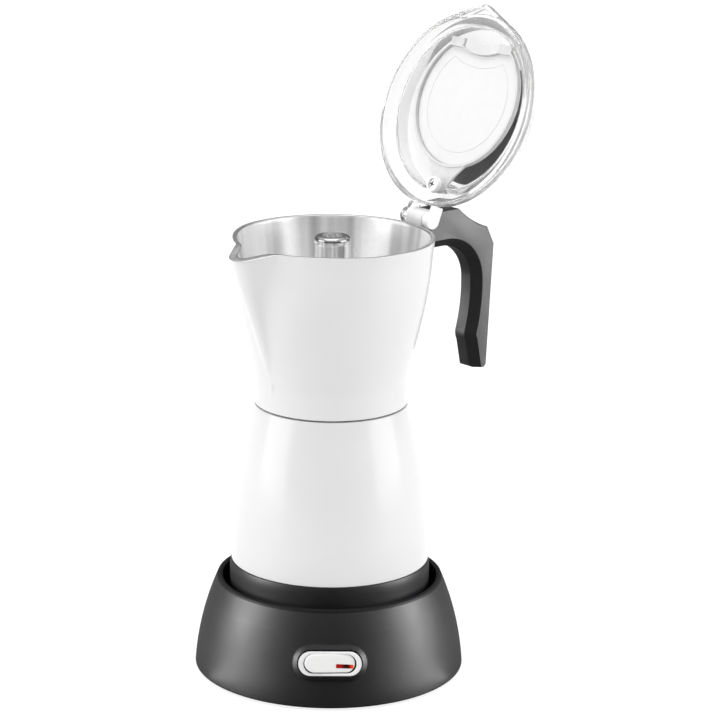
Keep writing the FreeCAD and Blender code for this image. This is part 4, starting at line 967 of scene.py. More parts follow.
def boiler_body():
    """White boiler with its bare threaded neck."""
    edge = Vector((BOILER_EDGE_RADIUS, BOILER_EDGE_HEIGHT))
    seam = Vector((SEAM_RADIUS, BOILER_TOP))
    profile = traced([
        (0, BOILER_UNDERSIDE),
        (BOILER_FOOT_RADIUS - BOILER_FOOT_WIDTH, BOILER_UNDERSIDE, 0.5),
        (BOILER_FOOT_RADIUS - BOILER_FOOT_WIDTH, BOILER_FOOT_BOTTOM, 0.4),
        (BOILER_FOOT_RADIUS, BOILER_FOOT_BOTTOM, 0.4),
        (BOILER_FOOT_RADIUS, BOILER_EDGE_HEIGHT, 0.2),
        (*edge, 0.5, BOILER_BEND),
        (*seam, 0.45),
        (NECK_RADIUS, BOILER_TOP, 0.4),
    ], closed=False, step=2.5)
    neck_foot, neck_end = BOILER_TOP + 0.6, NECK_TOP - 1.2
    for index in range(1, THREAD_ROWS):
        profile.append(Vector((NECK_RADIUS, neck_foot + (neck_end - neck_foot) * index / THREAD_ROWS)))
    profile += traced([
        (NECK_RADIUS, NECK_TOP - 1),
        (NECK_RADIUS - 1, NECK_TOP, 0.3),
        (NECK_BORE, NECK_TOP, 0.4),
        (NECK_BORE, BOILER_TOP - 0.4, 1),
        (SEAM_RADIUS - BASE_WALL, BOILER_TOP - 5, 2, BASE_WALL - BOILER_BEND),
        (BOILER_EDGE_RADIUS - 2.7, BOILER_FLOOR_TOP + 2.5, 1),
        (BOILER_EDGE_RADIUS - 5.2, BOILER_FLOOR_TOP, 2),
        (0, BOILER_FLOOR_TOP),
    ], closed=False, step=4)

    def threaded(angle, radius, height):
        if abs(radius - NECK_RADIUS) > 0.01 or height < BOILER_TOP + 0.5:
            return 0
        return -THREAD_DEPTH * thread(angle, height, BOILER_TOP)

    def coat(point):
        outside = point.x > SEAM_RADIUS - 2 and BOILER_FOOT_BOTTOM + 3 < point.y <= BOILER_TOP + 0.01
        return 0 if outside and point.x > arc_radius(edge, seam, BOILER_BEND, point.y) - 0.9 else 1

    piece = turned("boiler_body", profile, ON_POT, [WHITE, ALUMINIUM_PAINTED_REFLECTIONS],
                   coat=coat, closed=False, swell=threaded)
    stands_for(piece, "boiler")


# Height, reach, tip rounding, half angle, root angle and blend into the round wall, from the foot up
BEAK_LEVELS = [
    (RIM_HEIGHT - 71, 0.0, 4, 66, 7, 0.1),
    (RIM_HEIGHT - 53, 48.3, 5, 46, 14, 3),
    (RIM_HEIGHT - 36, 54.6, 6, 36, 18.5, 5),
    (RIM_HEIGHT - 17, 61.7, 8.2, 34, 21, 4),
    (RIM_HEIGHT, 66.6, 10.8, 36.5, 20, 1.6),
]
FLARE_FOOT = Vector((SEAM_RADIUS, SKIRT_TOP))
FLARE_RIM = Vector((RIM_RADIUS, RIM_HEIGHT))
INSIDE_FOOT = Vector((SEAM_RADIUS - RIM_THICKNESS + 0.6, COLLECTOR_FLOOR + 6))
INSIDE_RIM = Vector((RIM_RADIUS - RIM_THICKNESS, RIM_HEIGHT - RIM_ROUND))
BEAK_SPREAD = math.radians(80)
BEAK_SAMPLES = 900
BEAK_STATIONS = 96
ROUND_STATIONS = 100
OUTER_ROWS = 44
INNER_ROWS = 38
DROOP_START = 53.0
DROOP_SLOPE = 0.27
CHEEK = 1.5
TIP_EXTRA = 1.7


def flare_radius(height):
    return arc_radius(FLARE_FOOT, FLARE_RIM, FLARE_BEND, min(height, RIM_HEIGHT))


def inside_radius(height):
    return arc_radius(INSIDE_FOOT, INSIDE_RIM, FLARE_BEND, min(height, RIM_HEIGHT))


def beak_shape(height):
    """Reach, tip rounding, half angle, root angle and blend of the beak at a height."""
    levels = [list(row) for row in BEAK_LEVELS]
    levels[0][1] = flare_radius(levels[0][0]) - 0.3
    if height <= levels[0][0]:
        return levels[0][1:]
    for low, high in zip(levels, levels[1:]):
        if height <= high[0] + 1e-6:
            share = (height - low[0]) / (high[0] - low[0])
            return [start + (end - start) * share for start, end in zip(low[1:], high[1:])]
    return levels[-1][1:]


def beak_reach(angle, radius, tip, tip_round, half_angle, root_angle):
    """Distance from the axis to the beak's outline in a direction off the beak's middle."""
    lean = math.radians(half_angle)
    middle = tip - tip_round
    touch = Vector((middle + tip_round * math.sin(lean), tip_round * math.cos(lean)))
    if angle <= math.atan2(touch.y, touch.x):
        return middle * math.cos(angle) + math.sqrt(max(tip_round ** 2 - (middle * math.sin(angle)) ** 2, 0))
    root = radius * polar(1, math.radians(root_angle))
    outwards = Vector((math.sin(lean), math.cos(lean)))
    chord = root - touch
    facing = chord.dot(outwards)
    if facing < 1e-3:
        return 0
    flank = chord.length_squared / (2 * facing)
    centre = touch + outwards * flank
    towards = centre.dot(polar(1, min(angle, math.atan2(centre.y, centre.x))))
    return towards - math.sqrt(max(towards ** 2 - centre.length_squared + flank ** 2, 0))


def soft_max(first, second, blend):
    """The larger of two lengths, with a fillet where they meet."""
    share = min(1, max(0, 0.5 + 0.5 * (second - first) / blend))
    return first + (second - first) * share + blend * share * (1 - share)


def cheek(angle, height):
    """How far the wall draws in beside the beak, most at the rim and half way round to the side."""
    lift = max(0.0, (height - SKIRT_TOP) / (RIM_HEIGHT - SKIRT_TOP))
    return CHEEK * lift * math.sin(math.pi * min(1, angle / BEAK_SPREAD)) ** 2


def wall_outline(round_radius, height, beak, blend):
    """One level of the wall with its beak, as points at even steps from the tip round to the far side."""
    points = []
    for index in range(BEAK_SAMPLES + 1):
        angle = BEAK_SPREAD * index / BEAK_SAMPLES
        reach = soft_max(round_radius - cheek(angle, height), beak_reach(angle, *beak), blend)
        points.append(polar(reach, angle))
    lengths = [0.0]
    for before, after in zip(points, points[1:]):
        lengths.append(lengths[-1] + (after - before).length)
    half = []
    place = 0
    for station in range(BEAK_STATIONS):
        wanted = lengths[-1] * station / BEAK_STATIONS
        while lengths[place + 1] < wanted:
            place += 1
        share = (wanted - lengths[place]) / (lengths[place + 1] - lengths[place])
        half.append(points[place].lerp(points[place + 1], share))
    end = math.atan2(points[-1].y, points[-1].x)
    rest = [polar(points[-1].length, end + (2 * math.pi - 2 * end) * station / ROUND_STATIONS)
            for station in range(ROUND_STATIONS + 1)]
    return half + rest + [Vector((point.x, -point.y)) for point in reversed(half[1:])]


def outside_outline(height):
    *beak, blend = beak_shape(height)
    radius = flare_radius(height)
    return wall_outline(radius, height, (radius - 1.2, *beak), blend)


def inside_outline(height):
    tip, tip_round, half_angle, root_angle, blend = beak_shape(height)
    outer = flare_radius(height) - RIM_THICKNESS
    spread = math.degrees(math.asin(max(math.sin(math.radians(root_angle)) - 1.9 / outer, 0.02)))
    start = BEAK_LEVELS[2][0]
    inset = RIM_THICKNESS + TIP_EXTRA * max(0, (height - start) / (RIM_HEIGHT - start))
    beak = (outer - 1.2, tip - inset, max(tip_round - inset, 2.2), half_angle, spread)
    return wall_outline(inside_radius(height), height, beak, min(blend, 2.5))


def turned_to_beak(point, height):
    """The beak lies opposite the handle, on the far side of the pot's drawing."""
    return Vector((-point.x, -point.y, height))


def jug_wall(outline_of, foot, count):
    """Rows of a wall from its foot to under the rim, whose height droops towards the beak's tip."""
    top_outline = outline_of(RIM_HEIGHT)
    tops = [RIM_HEIGHT - max(0.0, point.x - DROOP_START) * DROOP_SLOPE - RIM_ROUND for point in top_outline]
    rise = RIM_HEIGHT - RIM_ROUND - foot
    outlines = [outline_of(foot + rise * row / count) for row in range(count + 1)]
    wall = []
    for order in range(count + 1):
        row = []
        for station, top in enumerate(tops):
            wanted = foot + (top - foot) * order / count
            place = min((wanted - foot) / rise * count, count - 1e-6)
            below = int(place)
            point = outlines[below][station].lerp(outlines[below + 1][station], place - below)
            row.append(turned_to_beak(point, wanted))
        wall.append(row)
    return wall, top_outline, tops


def rim_row(outline, tops, inset, rise):
    return [turned_to_beak(point, top + rise) for point, top in zip(grown(outline, -inset), tops)]


def jug():
    """Cast collector: threaded skirt, flaring wall drawn out into the beak, rounded lip and bare inside."""
    outer, outer_top, outer_tops = jug_wall(outside_outline, SKIRT_TOP, OUTER_ROWS)
    inner, inner_top, inner_tops = jug_wall(inside_outline, INSIDE_FOOT.y, INNER_ROWS)
    angles = [math.atan2(point.y, point.x) for point in outer[0]]
    rows = []
    coats = []

    def add(row, coat):
        rows.append(row)
        coats.append(coat)

    def add_round(radius, height, coat):
        add([polar(radius, angle, height) for angle in angles], coat)

    for radius in (0.0, 12, 24, 32):
        add_round(radius, COLLECTOR_UNDERSIDE, 1)
    thread_top = COLLECTOR_UNDERSIDE - 2
    for point in traced([(34, COLLECTOR_UNDERSIDE), (SKIRT_BORE, COLLECTOR_UNDERSIDE, 0.8),
                         (SKIRT_BORE, thread_top)], closed=False, step=1):
        add_round(point.x, point.y, 1)
    for index in range(1, SKIRT_THREAD_ROWS):
        height = thread_top - (thread_top - 1.2 - SKIRT_BOTTOM) * index / SKIRT_THREAD_ROWS
        add([polar(SKIRT_BORE + 0.5 * (1 - thread(angle, height, SKIRT_BOTTOM)), angle, height)
             for angle in angles], 1)
    for point in traced([(SKIRT_BORE, SKIRT_BOTTOM + 1), (SKIRT_BORE, SKIRT_BOTTOM, 0.4),
                         (SEAM_RADIUS, SKIRT_BOTTOM, 0.6), (SEAM_RADIUS, SKIRT_BOTTOM + 2)],
                        closed=False, step=1):
        add_round(point.x, point.y, 0)
    for share in (0.25, 0.5, 0.75):
        add_round(SEAM_RADIUS, SKIRT_BOTTOM + 2 + (SKIRT_TOP - SKIRT_BOTTOM - 2) * share, 0)
    for row in outer:
        add(row, 0)
    # The lip's rows take coat 2, whose darker colour is a painted dark reflection
    lip = quarter_round(RIM_ROUND, (22, 45, 67, 90))
    for inset, drop in lip:
        add(rim_row(outer_top, outer_tops, inset, RIM_ROUND - drop), 2)
    for inset, drop in reversed(lip):
        add(rim_row(inner_top, inner_tops, -inset, RIM_ROUND - drop), 2)
    for row in reversed(inner):
        add(row, 1)
    foot = traced([(*INSIDE_FOOT, 0, -6), (SEAM_RADIUS - RIM_THICKNESS - 5, COLLECTOR_FLOOR)],
                  closed=False, step=1)
    for point in foot[1:]:
        add_round(point.x, point.y, 1)
    for radius in (28, 20, 12, 6, 0.0):
        add_round(radius, COLLECTOR_FLOOR, 1)
    faces = strips(rows, coat=lambda order: coats[order])
    stands_for(made("jug_body", faces, ON_POT, [WHITE, ALUMINIUM_PAINTED_REFLECTIONS, LIP], smooth_below=50), "collector")


def hinge_lug():
    """White lug of the collector, with the barrel for the pin."""
    outline = traced([
        (RIM_RADIUS - 1.6, HINGE_HEIGHT - 11),
        (HINGE_REACH, HINGE_HEIGHT - 9, 1.5),
        (HINGE_REACH + LUG_END, HINGE_HEIGHT - 5, 1),
        (HINGE_REACH + LUG_END, HINGE_HEIGHT + BARREL_RADIUS, 0.6),
        (HINGE_REACH, HINGE_HEIGHT + BARREL_RADIUS, 0, BARREL_RADIUS),
        (HINGE_REACH - BARREL_RADIUS, HINGE_HEIGHT),
        (HINGE_REACH - BARREL_RADIUS, HINGE_HEIGHT - 4, 1),
        (RIM_RADIUS - 1.6, HINGE_HEIGHT - 7),
    ], step=0.8)
    piece = cut_slab("hinge_lug", outline, -LUG_WIDTH / 2, LUG_WIDTH / 2, 0.5,
                     ON_POT @ turned_by("X", 90), [WHITE])
    stands_for(piece, "collector")


def chrome_cap():
    """Turned cap of the column, with a darker chrome painted on its upper shoulder and the edge of its top
    as a dark reflection, and a dished middle.
    """
    spigot = COLUMN_RADIUS - COLUMN_WALL - 0.1
    profile = traced([
        (0, COLUMN_TOP - 2),
        (spigot, COLUMN_TOP - 2, 0.2),
        (spigot, COLUMN_TOP, 0.1),
        (COLUMN_RADIUS, COLUMN_TOP, 0.2),
        (COLUMN_RADIUS, CAP_TOP - 2.6, 0, 2.4),
        (COLUMN_RADIUS - 2.4, CAP_TOP - 0.2, 1),
        (6.0, CAP_TOP, 0.5),
        (5.2, CAP_TOP - 0.25, 0.3),
        (0, CAP_TOP - 0.3),
    ], closed=False, step=0.6)

    # The upper shoulder and the top's edge take the darker chrome, a painted dark reflection
    def coat(point):
        if point.x < 5.3 and point.y > CAP_TOP - 1:
            return 2
        return 1 if point.y > CAP_TOP - 2.9 else 0

    piece = turned("chrome_cap", profile, ON_POT, [CHROME, PAINTED_DARK_REFLECTION_CHROME, STEEL], 128, coat, closed=False)
    stands_for(piece, "column_cap")


# Lid

def disc_row(inset, height):
    """The disc's outline drawn in by some amount: a round of a circle, and the bite out of its front."""
    radius = DISC_RADIUS - inset
    bend = DISC_NOTCH_BEND + inset
    apart = DISC_NOTCH_CENTRE - DISC_SHIFT
    across = ((bend ** 2 - radius ** 2) / apart - DISC_NOTCH_CENTRE - DISC_SHIFT) / 2
    side = math.sqrt(radius ** 2 - (across + DISC_SHIFT) ** 2)
    start = math.atan2(side, across + DISC_SHIFT)
    lean = math.atan2(side, across + DISC_NOTCH_CENTRE)
    row = []
    arcs = ((radius, -start, 120, DISC_SHIFT), (bend, lean, 30, DISC_NOTCH_CENTRE))
    for reach, turn, steps, shift in arcs:
        for index in range(steps):
            spot = polar(reach, -turn + 2 * turn * index / steps, height)
            row.append(spot - Vector((shift, 0, 0)))
    return row


def white_disc():
    """White disc of the lid with a fine line drawn in from its edge."""
    top, face = INSERT_TOP, INSERT_TOP - DISC_THICKNESS
    line = DISC_LINE_INSET
    profile = [(MIDDLE_FACE, top), (0.15, top), (0, top - 0.15), (0, face + 0.2), (0.2, face),
               (line - 0.3, face), (line - 0.1, face + 0.25), (line + 0.1, face + 0.25), (line + 0.3, face),
               (MIDDLE_FACE, face)]
    rows = [disc_row(inset, height) for inset, height in profile]
    stands_for(made("white_disc", capped(rows), ON_LID, [MILKY]), "lid_disc")


def nose_radius(angle, inset):
    """Distance from the lid's middle to the edge of its pointed tip, or nothing beside the tip."""
    turn = abs(math.atan2(math.sin(angle), -math.cos(angle)))
    root = Vector((NOSE_ROOT - inset, NOSE_SIDE - inset))
    point = NOSE_REACH - inset
    bend = NOSE_ROUND - inset * 0.8
    slope = math.atan2(point - root.x, root.y)
    touch = Vector((point - bend * (1 - math.cos(slope)), bend * math.sin(slope)))
    if turn > math.atan2(root.y, root.x):
        return 0
    if turn < math.atan2(touch.y, touch.x):
        middle = point - bend
        return middle * math.cos(turn) + math.sqrt(bend ** 2 - (middle * math.sin(turn)) ** 2)
    along = touch - root
    ray = polar(1, turn)
    return (root.x * along.y - root.y * along.x) / (ray.x * along.y - ray.y * along.x)


def lid_row(radius, height, nose_inset=None):
    """One level of the clear lid, closer steps at its tip, with the tip drawn in by some amount."""
    row = []
    for turn in [160 + step * 0.5 for step in range(80)] + [200 + step * 2 for step in range(160)]:
        angle = math.radians(turn)
        reach = radius if nose_inset is None else max(radius, nose_radius(angle, nose_inset))
        row.append(polar(reach, angle, height))
    return row


def under_roof(spot):
    """The point of the clear lid's inner face over a spot, just inside the plastic."""
    inner = LID_RADIUS - LID_WALL
    share = (inner - math.hypot(spot.x, spot.y)) / (inner - LID_ROOF_RADIUS + 1)
    start = LID_BAND_TOP - 1.8
    height = start + (LID_ROOF_TOP - LID_WALL - start) * min(1, max(0, share))
    return Vector((spot.x, spot.y, height - 0.02))


def canopy():
    """Clear shell of the lid: band with its pointed tip, sloping wall and flat roof."""
    inner = LID_RADIUS - LID_WALL
    under = LID_ROOF_TOP - LID_WALL
    band_edge = Vector((LID_RADIUS, LID_BAND_TOP))
    shoulder = [band_edge, band_edge + LID_SHOULDER]
    shoulder[1:1] = arc_points(*shoulder, LID_SHOULDER_BEND, 0.4)
    levels = [
        (MIDDLE_FACE, LID_ROOF_TOP),
        (LID_ROOF_RADIUS - 0.8, LID_ROOF_TOP),
        (LID_ROOF_RADIUS - 0.2, LID_ROOF_TOP - 0.2),
        (LID_ROOF_RADIUS + 0.5, LID_ROOF_TOP - 0.8),
        *reversed(shoulder),
        (LID_RADIUS, LID_BAND_TOP, 0.5),
        (LID_RADIUS, LID_BAND_TOP - 0.15, 0.15),
        (LID_RADIUS, LID_BAND_TOP - 0.5, 0),
        (LID_RADIUS, LID_BOTTOM + 0.4, 0),
        (LID_RADIUS - 0.12, LID_BOTTOM + 0.12, 0.12),
        (LID_RADIUS - 0.4, LID_BOTTOM, 0.4),
        (inner + 0.4, LID_BOTTOM, LID_WALL - 0.4),
        (inner + 0.12, LID_BOTTOM + 0.12, LID_WALL - 0.12),
        (inner, LID_BOTTOM + 0.4, LID_WALL),
        (inner, LID_BAND_TOP - 2.4, LID_WALL),
        (inner, LID_BAND_TOP - 2, LID_WALL + 0.4),
        (inner, LID_BAND_TOP - 1.95),
        (inner - 0.1, LID_BAND_TOP - 1.7),
        (LID_ROOF_RADIUS - 0.7, under - 0.4),
        (LID_ROOF_RADIUS - 1.6, under),
        (MIDDLE_FACE, under),
    ]
    rows = [lid_row(*size) for size in levels]
    stands_for(made("lid_canopy", capped(rows), ON_LID, [CLEAR]), "lid_shell")


def lid_rib():
    """Ring under the lid's roof, open towards the hinge."""
    rows = []
    steps = 120
    for index in range(steps + 1):
        angle = math.radians(RIB_GAP + (360 - 2 * RIB_GAP) * index / steps)
        near, far = [polar(radius, angle, RIB_BOTTOM) - Vector((RIB_SHIFT, 0, 0))
                     for radius in (RIB_RADIUS, RIB_RADIUS + RIB_THICKNESS)]
        rows.append([near, under_roof(near), under_roof(far), far])
    stands_for(made("lid_rib", capped(rows), ON_LID, [CLEAR]), "lid_shell")


def screw_tower():
    """Clear tower for the lid's screw."""
    shift = Vector((LID_SCREW_SHIFT, 0, INSERT_TOP - 1.2))
    bore, foot, edge = [[point + shift for point in circle_row(radius, height, 48)] for radius, height in (
        (SCREW_RADIUS, 0), (TOWER_RADIUS - 0.2, 0), (TOWER_RADIUS, 0.2))]
    rows = [bore, foot, edge, [under_roof(point) for point in edge], [under_roof(point) for point in bore]]
    stands_for(made("screw_tower", strips(rows, closed=True), ON_LID, [CLEAR]), "lid_shell")


def ear_radius(angle):
    """Distance from the pin to the edge of an ear: round, with an arm towards the lid's band."""
    across, up = math.cos(angle), math.sin(angle)
    if across >= 0:
        return BARREL_RADIUS
    limit = BARREL_RADIUS / up if up > 0 else LID_BOTTOM / min(up, -1e-6)
    return max(BARREL_RADIUS, min((LID_REACH - LID_RADIUS + 0.2) / -across, limit))


def ears():
    """The lid's two ears on the hinge pin, the near one milky and the far one clear."""
    for name, side, finish in (("near_ear", -1, EAR_MILKY), ("far_ear", 1, CLEAR)):
        start = side * (LUG_WIDTH / 2 + EAR_GAP)
        end = start + side * EAR_THICKNESS
        soft = 0.4 * side
        rows = []
        for grow, deep in ((None, start), (-0.4, start), (-0.1, start + soft * 0.3), (0, start + soft),
                           (0, end - soft), (-0.1, end - soft * 0.3), (-0.4, end), (None, end)):
            row = []
            for angle in even_angles(180):
                spot = polar(PIN_HOLE_RADIUS if grow is None else ear_radius(angle) + grow, angle)
                row.append(Vector((LID_REACH + spot.x, deep, spot.y)))
            rows.append(row)
        stands_for(made(name, strips(rows, closed=True), ON_LID, [finish]), "lid_shell")


def roof_plate():
    """The dark plate on the lid's roof, a little smaller and aside, so that the disc hides its left."""
    piece = softened_copy("roof_plate", "lid_top_plate", PLATE_BLACK, 0.2)
    smaller = Matrix.Diagonal((ROOF_PLATE_SHARE, ROOF_PLATE_SHARE, 1, 1))
    piece.data.transform(TO_METRES @ ON_LID @ moved_by(*ROOF_PLATE_ASIDE) @ smaller
                         @ ON_LID.inverted() @ TO_MILLIMETRES)


def screw_boss():
    """White ring round the lid's screw."""
    inner, outer = SCREW_HEAD_RADIUS + 0.5, SCREW_HEAD_RADIUS + 1.8
    high, low = INSERT_TOP - 5.2, INSERT_TOP - 8.2
    profile = traced([(inner, high), (inner, low, 0.25), (outer, low, 0.6), (outer, high, 0.2)], step=0.3)
    piece = turned("screw_boss", profile, ON_LID @ moved_by(LID_SCREW_SHIFT, 0, 0), [EAR_MILKY], steps=64)
    belongs(piece, "lid")


def smaller_pieces():
    """Pieces that keep the frame's own shape, with their edges rounded."""
    for name, node, edge in (
            ("bottom_cover", "base_bottom_cover", 0.3),
            ("base_foot", "base_foot_ring", 0.4),
            ("power_socket", "base_socket", 0.2),
            ("socket_pins", "socket_contacts", 0.08),
            ("cord_sleeve", "cord_gland", 0.25),
            ("pot_foot", "pot_foot_ring", 0.4),
            ("power_plug", "pot_connector", 0.2),
            ("plug_pins", "connector_contacts", 0.08),
            ("heater_disc", "heater_plate", 0.3),
            ("safety_valve", "valve_body", 0.12),
            ("hinge_axle", "hinge_pin", 0.15),
            ("seal", "gasket", 0.25),
            ("sieve", "filter_plate", 0.05),
            ("coffee_basket", "funnel", 0.15),
            ("basket_sieve", "funnel_strainer", 0.05)):
        softened_copy(name, node, SLOT_FINISHES[SLOT_OF[node]], edge)


# Screws and other repeated pieces

def cross_row(reach, half, height):
    """The outline of a cross recess, as seen from its middle in even directions."""
    row = []
    for angle in even_angles(CROSS_STEPS):
        shorter, longer = sorted((abs(math.cos(angle)), abs(math.sin(angle))))
        row.append(polar(min(reach / longer, half / max(shorter, 1e-6)), angle, height))
    return row


def screw_pattern(head_radius, length):
    """One pan-head screw with a cross recess, its head at the bottom and its shank upwards."""
    reach, half = head_radius * 0.6, head_radius * 0.15
    head = SCREW_HEAD_HEIGHT
    levels = [(head_radius * 0.7, 0.03), (head_radius - 0.35, 0.12), (head_radius - 0.1, 0.3),
              (head_radius, 0.6), (head_radius, head), (SCREW_RADIUS, head)]
    for index in range(max(1, int(length - 0.6))):
        levels += [(SCREW_RADIUS, head + index), (SCREW_RADIUS - 0.25, head + index + 0.5)]
    levels += [(SCREW_RADIUS, head + length - 0.4), (SCREW_RADIUS - 0.5, head + length)]
    rows = [cross_row(reach * 0.7, half * 0.7, head * 0.6), cross_row(reach, half, 0.05)]
    rows += [circle_row(radius, height, CROSS_STEPS) for radius, height in levels]
    return made("screw_pattern", capped(rows), TO_MILLIMETRES, [STEEL], smooth_below=50)


def dimple_pattern():
    rows = []
    for turn in (0, 30, 55, 75):
        across, up = math.cos(math.radians(turn)), math.sin(math.radians(turn))
        rows.append(circle_row(DIMPLE_RADIUS * across, DIMPLE_HEIGHT * up, 24))
    return made("dimple_pattern", capped(rows), TO_MILLIMETRES, [CHROME], smooth_below=60)


def repeat_tree():
    """Geometry nodes that put one piece on every point, each turned by chance, as one real mesh."""
    tree = bpy.data.node_groups.new("piece_on_points", "GeometryNodeTree")
    for name, way, kind in (("Points", "INPUT", "Geometry"), ("Piece", "INPUT", "Object"),
                            ("Size", "INPUT", "Float"), ("Chance Turn", "INPUT", "Float"),
                            ("Finish", "INPUT", "Material"), ("Pieces", "OUTPUT", "Geometry")):
        tree.interface.new_socket(name, in_out=way, socket_type="NodeSocket" + kind)
    given = wired(tree, "NodeGroupInput").outputs
    info = wired(tree, "GeometryNodeObjectInfo", Object=given["Piece"])
    chance = wired(tree, "FunctionNodeRandomValue", {"data_type": "FLOAT"}, Seed=7, Max=given["Chance Turn"])
    turn = wired(tree, "ShaderNodeCombineXYZ", Z=chance.outputs["Value"])
    place = wired(tree, "GeometryNodeInstanceOnPoints", Points=given["Points"], Scale=given["Size"],
                  Instance=info.outputs["Geometry"], Rotation=turn.outputs["Vector"])
    real = wired(tree, "GeometryNodeRealizeInstances", Geometry=place.outputs["Instances"])
    coated = wired(tree, "GeometryNodeSetMaterial",
                   Geometry=real.outputs["Geometry"], Material=given["Finish"])
    wired(tree, "NodeGroupOutput", Pieces=coated.outputs["Geometry"])
    return tree


def repeated(tree, name, shape, spots, where, finish, chance_turn):
    """A plain mesh of a shape on several spots, in millimetres before its place is applied."""
    points = bpy.data.meshes.new(name + "_points")
    points.from_pydata([tuple(spot) for spot in spots], [], [])
    holder = placed(name + "_points", points)
    modifier = holder.modifiers.new("repeat", "NODES")
    modifier.node_group = tree
    values = {"Piece": shape, "Size": 1.0, "Chance Turn": chance_turn, "Finish": finish}
    for socket in tree.interface.items_tree:
        if socket.name in values:
            modifier[socket.identifier] = values[socket.name]
    bpy.context.view_layer.update()
    ready = holder.evaluated_get(bpy.context.evaluated_depsgraph_get())
    mesh = bpy.data.meshes.new_from_object(ready)
    mesh.name = name
    mesh.transform(TO_METRES @ where)
    for spare in (holder, shape):
        bpy.data.objects.remove(spare)
    bpy.data.meshes.remove(points)
    return placed(name, mesh)


def on_circle(radius, count, start, height):
    return [polar(radius, math.radians(start) + angle, height) for angle in even_angles(count)]


def fasteners(tree):
    """All screws, one group for each place, with the finish of bright steel and painted shade in their cross
    recesses.
    """
    head = SCREW_HEAD_HEIGHT
    through_floor = COLLAR_FLOOR_TOP - COLLAR_BOTTOM - head
    for name, node, head_radius, length, where, spots in (
            ("cover_screws", "base_cover_screws", SCREW_HEAD_RADIUS, COVER_SCREW_LENGTH, ON_AXIS,
             on_circle(POST_CIRCLE, 4, 45, FOOT_HEIGHT + 0.1)),
            ("foot_screws", "collar_screws", SCREW_HEAD_RADIUS, through_floor, ON_POT,
             on_circle(COLLAR_SCREW_CIRCLE, 3, 0, COLLAR_BOTTOM)),
            ("grip_screw", "handle_screw", SCREW_HEAD_RADIUS, HANDLE_SCREW_LENGTH, ON_POT,
             [(HANDLE_SCREW_REACH, 0, HANDLE_SCREW_SEAT - head)]),
            ("disc_screw", "lid_screw", SCREW_HEAD_RADIUS + 0.4, LID_SCREW_LENGTH, ON_LID,
             [(LID_SCREW_SHIFT, 0, INSERT_TOP - LID_SCREW_DEPTH - head)])):
        shape = screw_pattern(head_radius, length)
        per_screw = len(shape.data.polygons)
        piece = repeated(tree, name, shape, spots, where, STEEL, 0.4)
        # The recess walls and floor take the painted shade
        piece.data.materials.append(RECESS)
        for face in piece.data.polygons:
            step = face.index % per_screw
            if step < CROSS_STEPS or step == per_screw - 2:
                face.material_index = 1
        stands_for(piece, node)


def cap_dimples(tree):
    """The ring of small pressed dimples on the cap's flat top."""
    spots = on_circle(DIMPLE_CIRCLE, 6, 0, CAP_TOP - 0.32)
    # The dimples take the darker chrome of the painted dark reflection
    piece = repeated(tree, "cap_dimples", dimple_pattern(), spots, ON_POT, PAINTED_DARK_REFLECTION_CHROME, 2 * math.pi)
    belongs(piece, "jug")


# Floor, light and camera

def soft_light(name, spot, size, watts, receivers=None, aim=(0, 0, 0.12)):
    """A rectangular soft box that points at the pot, and lights all pieces or only its receivers."""
    light = bpy.data.lights.new(name, "AREA")
    light.shape = "RECTANGLE"
    light.size, light.size_y = size
    light.energy = watts
    lamp = placed(name, light)
    lamp.location = spot
    lamp.rotation_euler = (Vector(aim) - Vector(spot)).to_track_quat("-Z", "Y").to_euler()
    lamp.visible_camera = False
    lamp.light_linking.receiver_collection = receivers


def linked_set(name, pieces, state):
    """The pieces that a light reaches, or those that it leaves out."""
    chosen = bpy.data.collections.new(name)
    for piece in pieces:
        chosen.objects.link(piece)
    for entry in chosen.collection_objects:
        entry.light_linking.link_state = state
    return chosen


def glowing_floor(receivers):
    """Plain white floor, whose glow leaves the black pieces dark."""
    mesh = bpy.data.meshes.new("floor")
    corners = [(across * FLOOR_REACH, deep * FLOOR_REACH, 0)
               for across, deep in ((-1, -1), (1, -1), (1, 1), (-1, 1))]
    mesh.from_pydata(corners, [], [(0, 1, 2, 3)])
    mesh.materials.append(finished("pale_floor", None, None, Base_Color=(0.25, 0.25, 0.25, 1), Roughness=0.9,
                                   Specular_IOR_Level=0.0, Emission_Color=(1, 1, 1, 1),
                                   Emission_Strength=FLOOR_GLOW))
    floor = placed("floor", mesh)
    floor.light_linking.receiver_collection = receivers


def room_light():
    """Even white light, brighter from above."""
    world = bpy.data.worlds.new("studio")
    world.use_nodes = True
    tree = world.node_tree
    direction = wired(tree, "ShaderNodeTexCoord").outputs["Generated"]
    height = wired(tree, "ShaderNodeSeparateXYZ", Vector=direction).outputs["Z"]
    strength = between(tree, height, ROOM_LIGHT_LOW, ROOM_LIGHT_HIGH, 0.2, 0.95, "SMOOTHSTEP")
    fed(tree, tree.nodes["Background"], Color=(1, 1, 1, 1), Strength=strength)
    bpy.context.scene.world = world


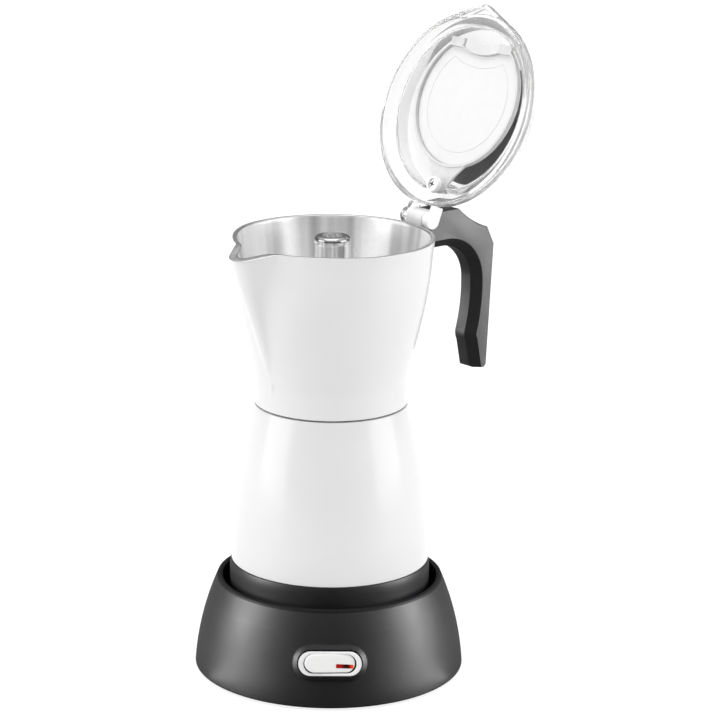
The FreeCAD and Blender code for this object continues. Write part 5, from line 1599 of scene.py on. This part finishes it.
def studio():
    """Soft side and top light, and strips that shape the black plastic."""
    dark = [piece for piece in bpy.data.objects
            if piece.type == "MESH" and any(slot.material in BLACKS for slot in piece.material_slots)]
    all_but_dark = linked_set("all_but_dark_pieces", dark, "EXCLUDE")
    black_only = linked_set("dark_pieces", dark, "INCLUDE")
    base_only = linked_set("base_piece", [bpy.data.objects["base_casing"]], "INCLUDE")
    glowing_floor(all_but_dark)
    room_light()
    for name, side in (("left_window", -1), ("right_window", 1)):
        soft_light(name, (side * 1.2, -0.25, 0.5), (1.0, 1.1), WINDOW_WATTS)
    soft_light("top_window", (-0.1, 0.0, 1.4), (1.0, 1.0), TOP_WATTS, all_but_dark)
    for name, side in (("left_strip", -1), ("right_strip", 1)):
        soft_light(name, (side * 0.9, -0.1, 0.3), (0.35, 0.66), STRIP_WATTS, black_only)
        low = Vector((side * CARD_ACROSS, -0.08, 0.001))
        soft_light(name + "_card", low, (0.07, 0.1), CARD_WATTS, base_only, low + Vector((0, 0, 1)))


def camera():
    """The photo's view, as fitted to the pot's round edges."""
    data = bpy.data.cameras.new("camera")
    data.lens = CAMERA_LENS
    data.sensor_width = 36
    data.clip_start = 0.1
    data.clip_end = 60
    piece = placed("camera", data)
    piece.matrix_world = (Matrix.Translation(CAMERA_SPOT) @ turned_by("Z", -CAMERA_PAN)
                          @ turned_by("X", 90 - CAMERA_DOWN) @ turned_by("Z", CAMERA_ROLL))
    bpy.context.scene.camera = piece


finish_inner_nodes()
base_casing()
rocker_frame()
rocker()
red_window()
black_collar()
boiler_body()
jug()
hinge_lug()
softened_copy("coffee_column", "column_tube", COLUMN_STEEL_PAINTED_REFLECTIONS, 0.2)
chrome_cap()
softened_copy("grip", "handle", HANDLE_BLACK, 0.6)
roof_plate()
softened_copy("disc_frame", "lid_disc_frame", FRAME_MILKY, 0.35)
canopy()
lid_rib()
screw_tower()
ears()
white_disc()
screw_boss()
smaller_pieces()
repeating = repeat_tree()
fasteners(repeating)
cap_dimples(repeating)
studio()
camera()
bpy.context.scene.view_settings.view_transform = "Standard"
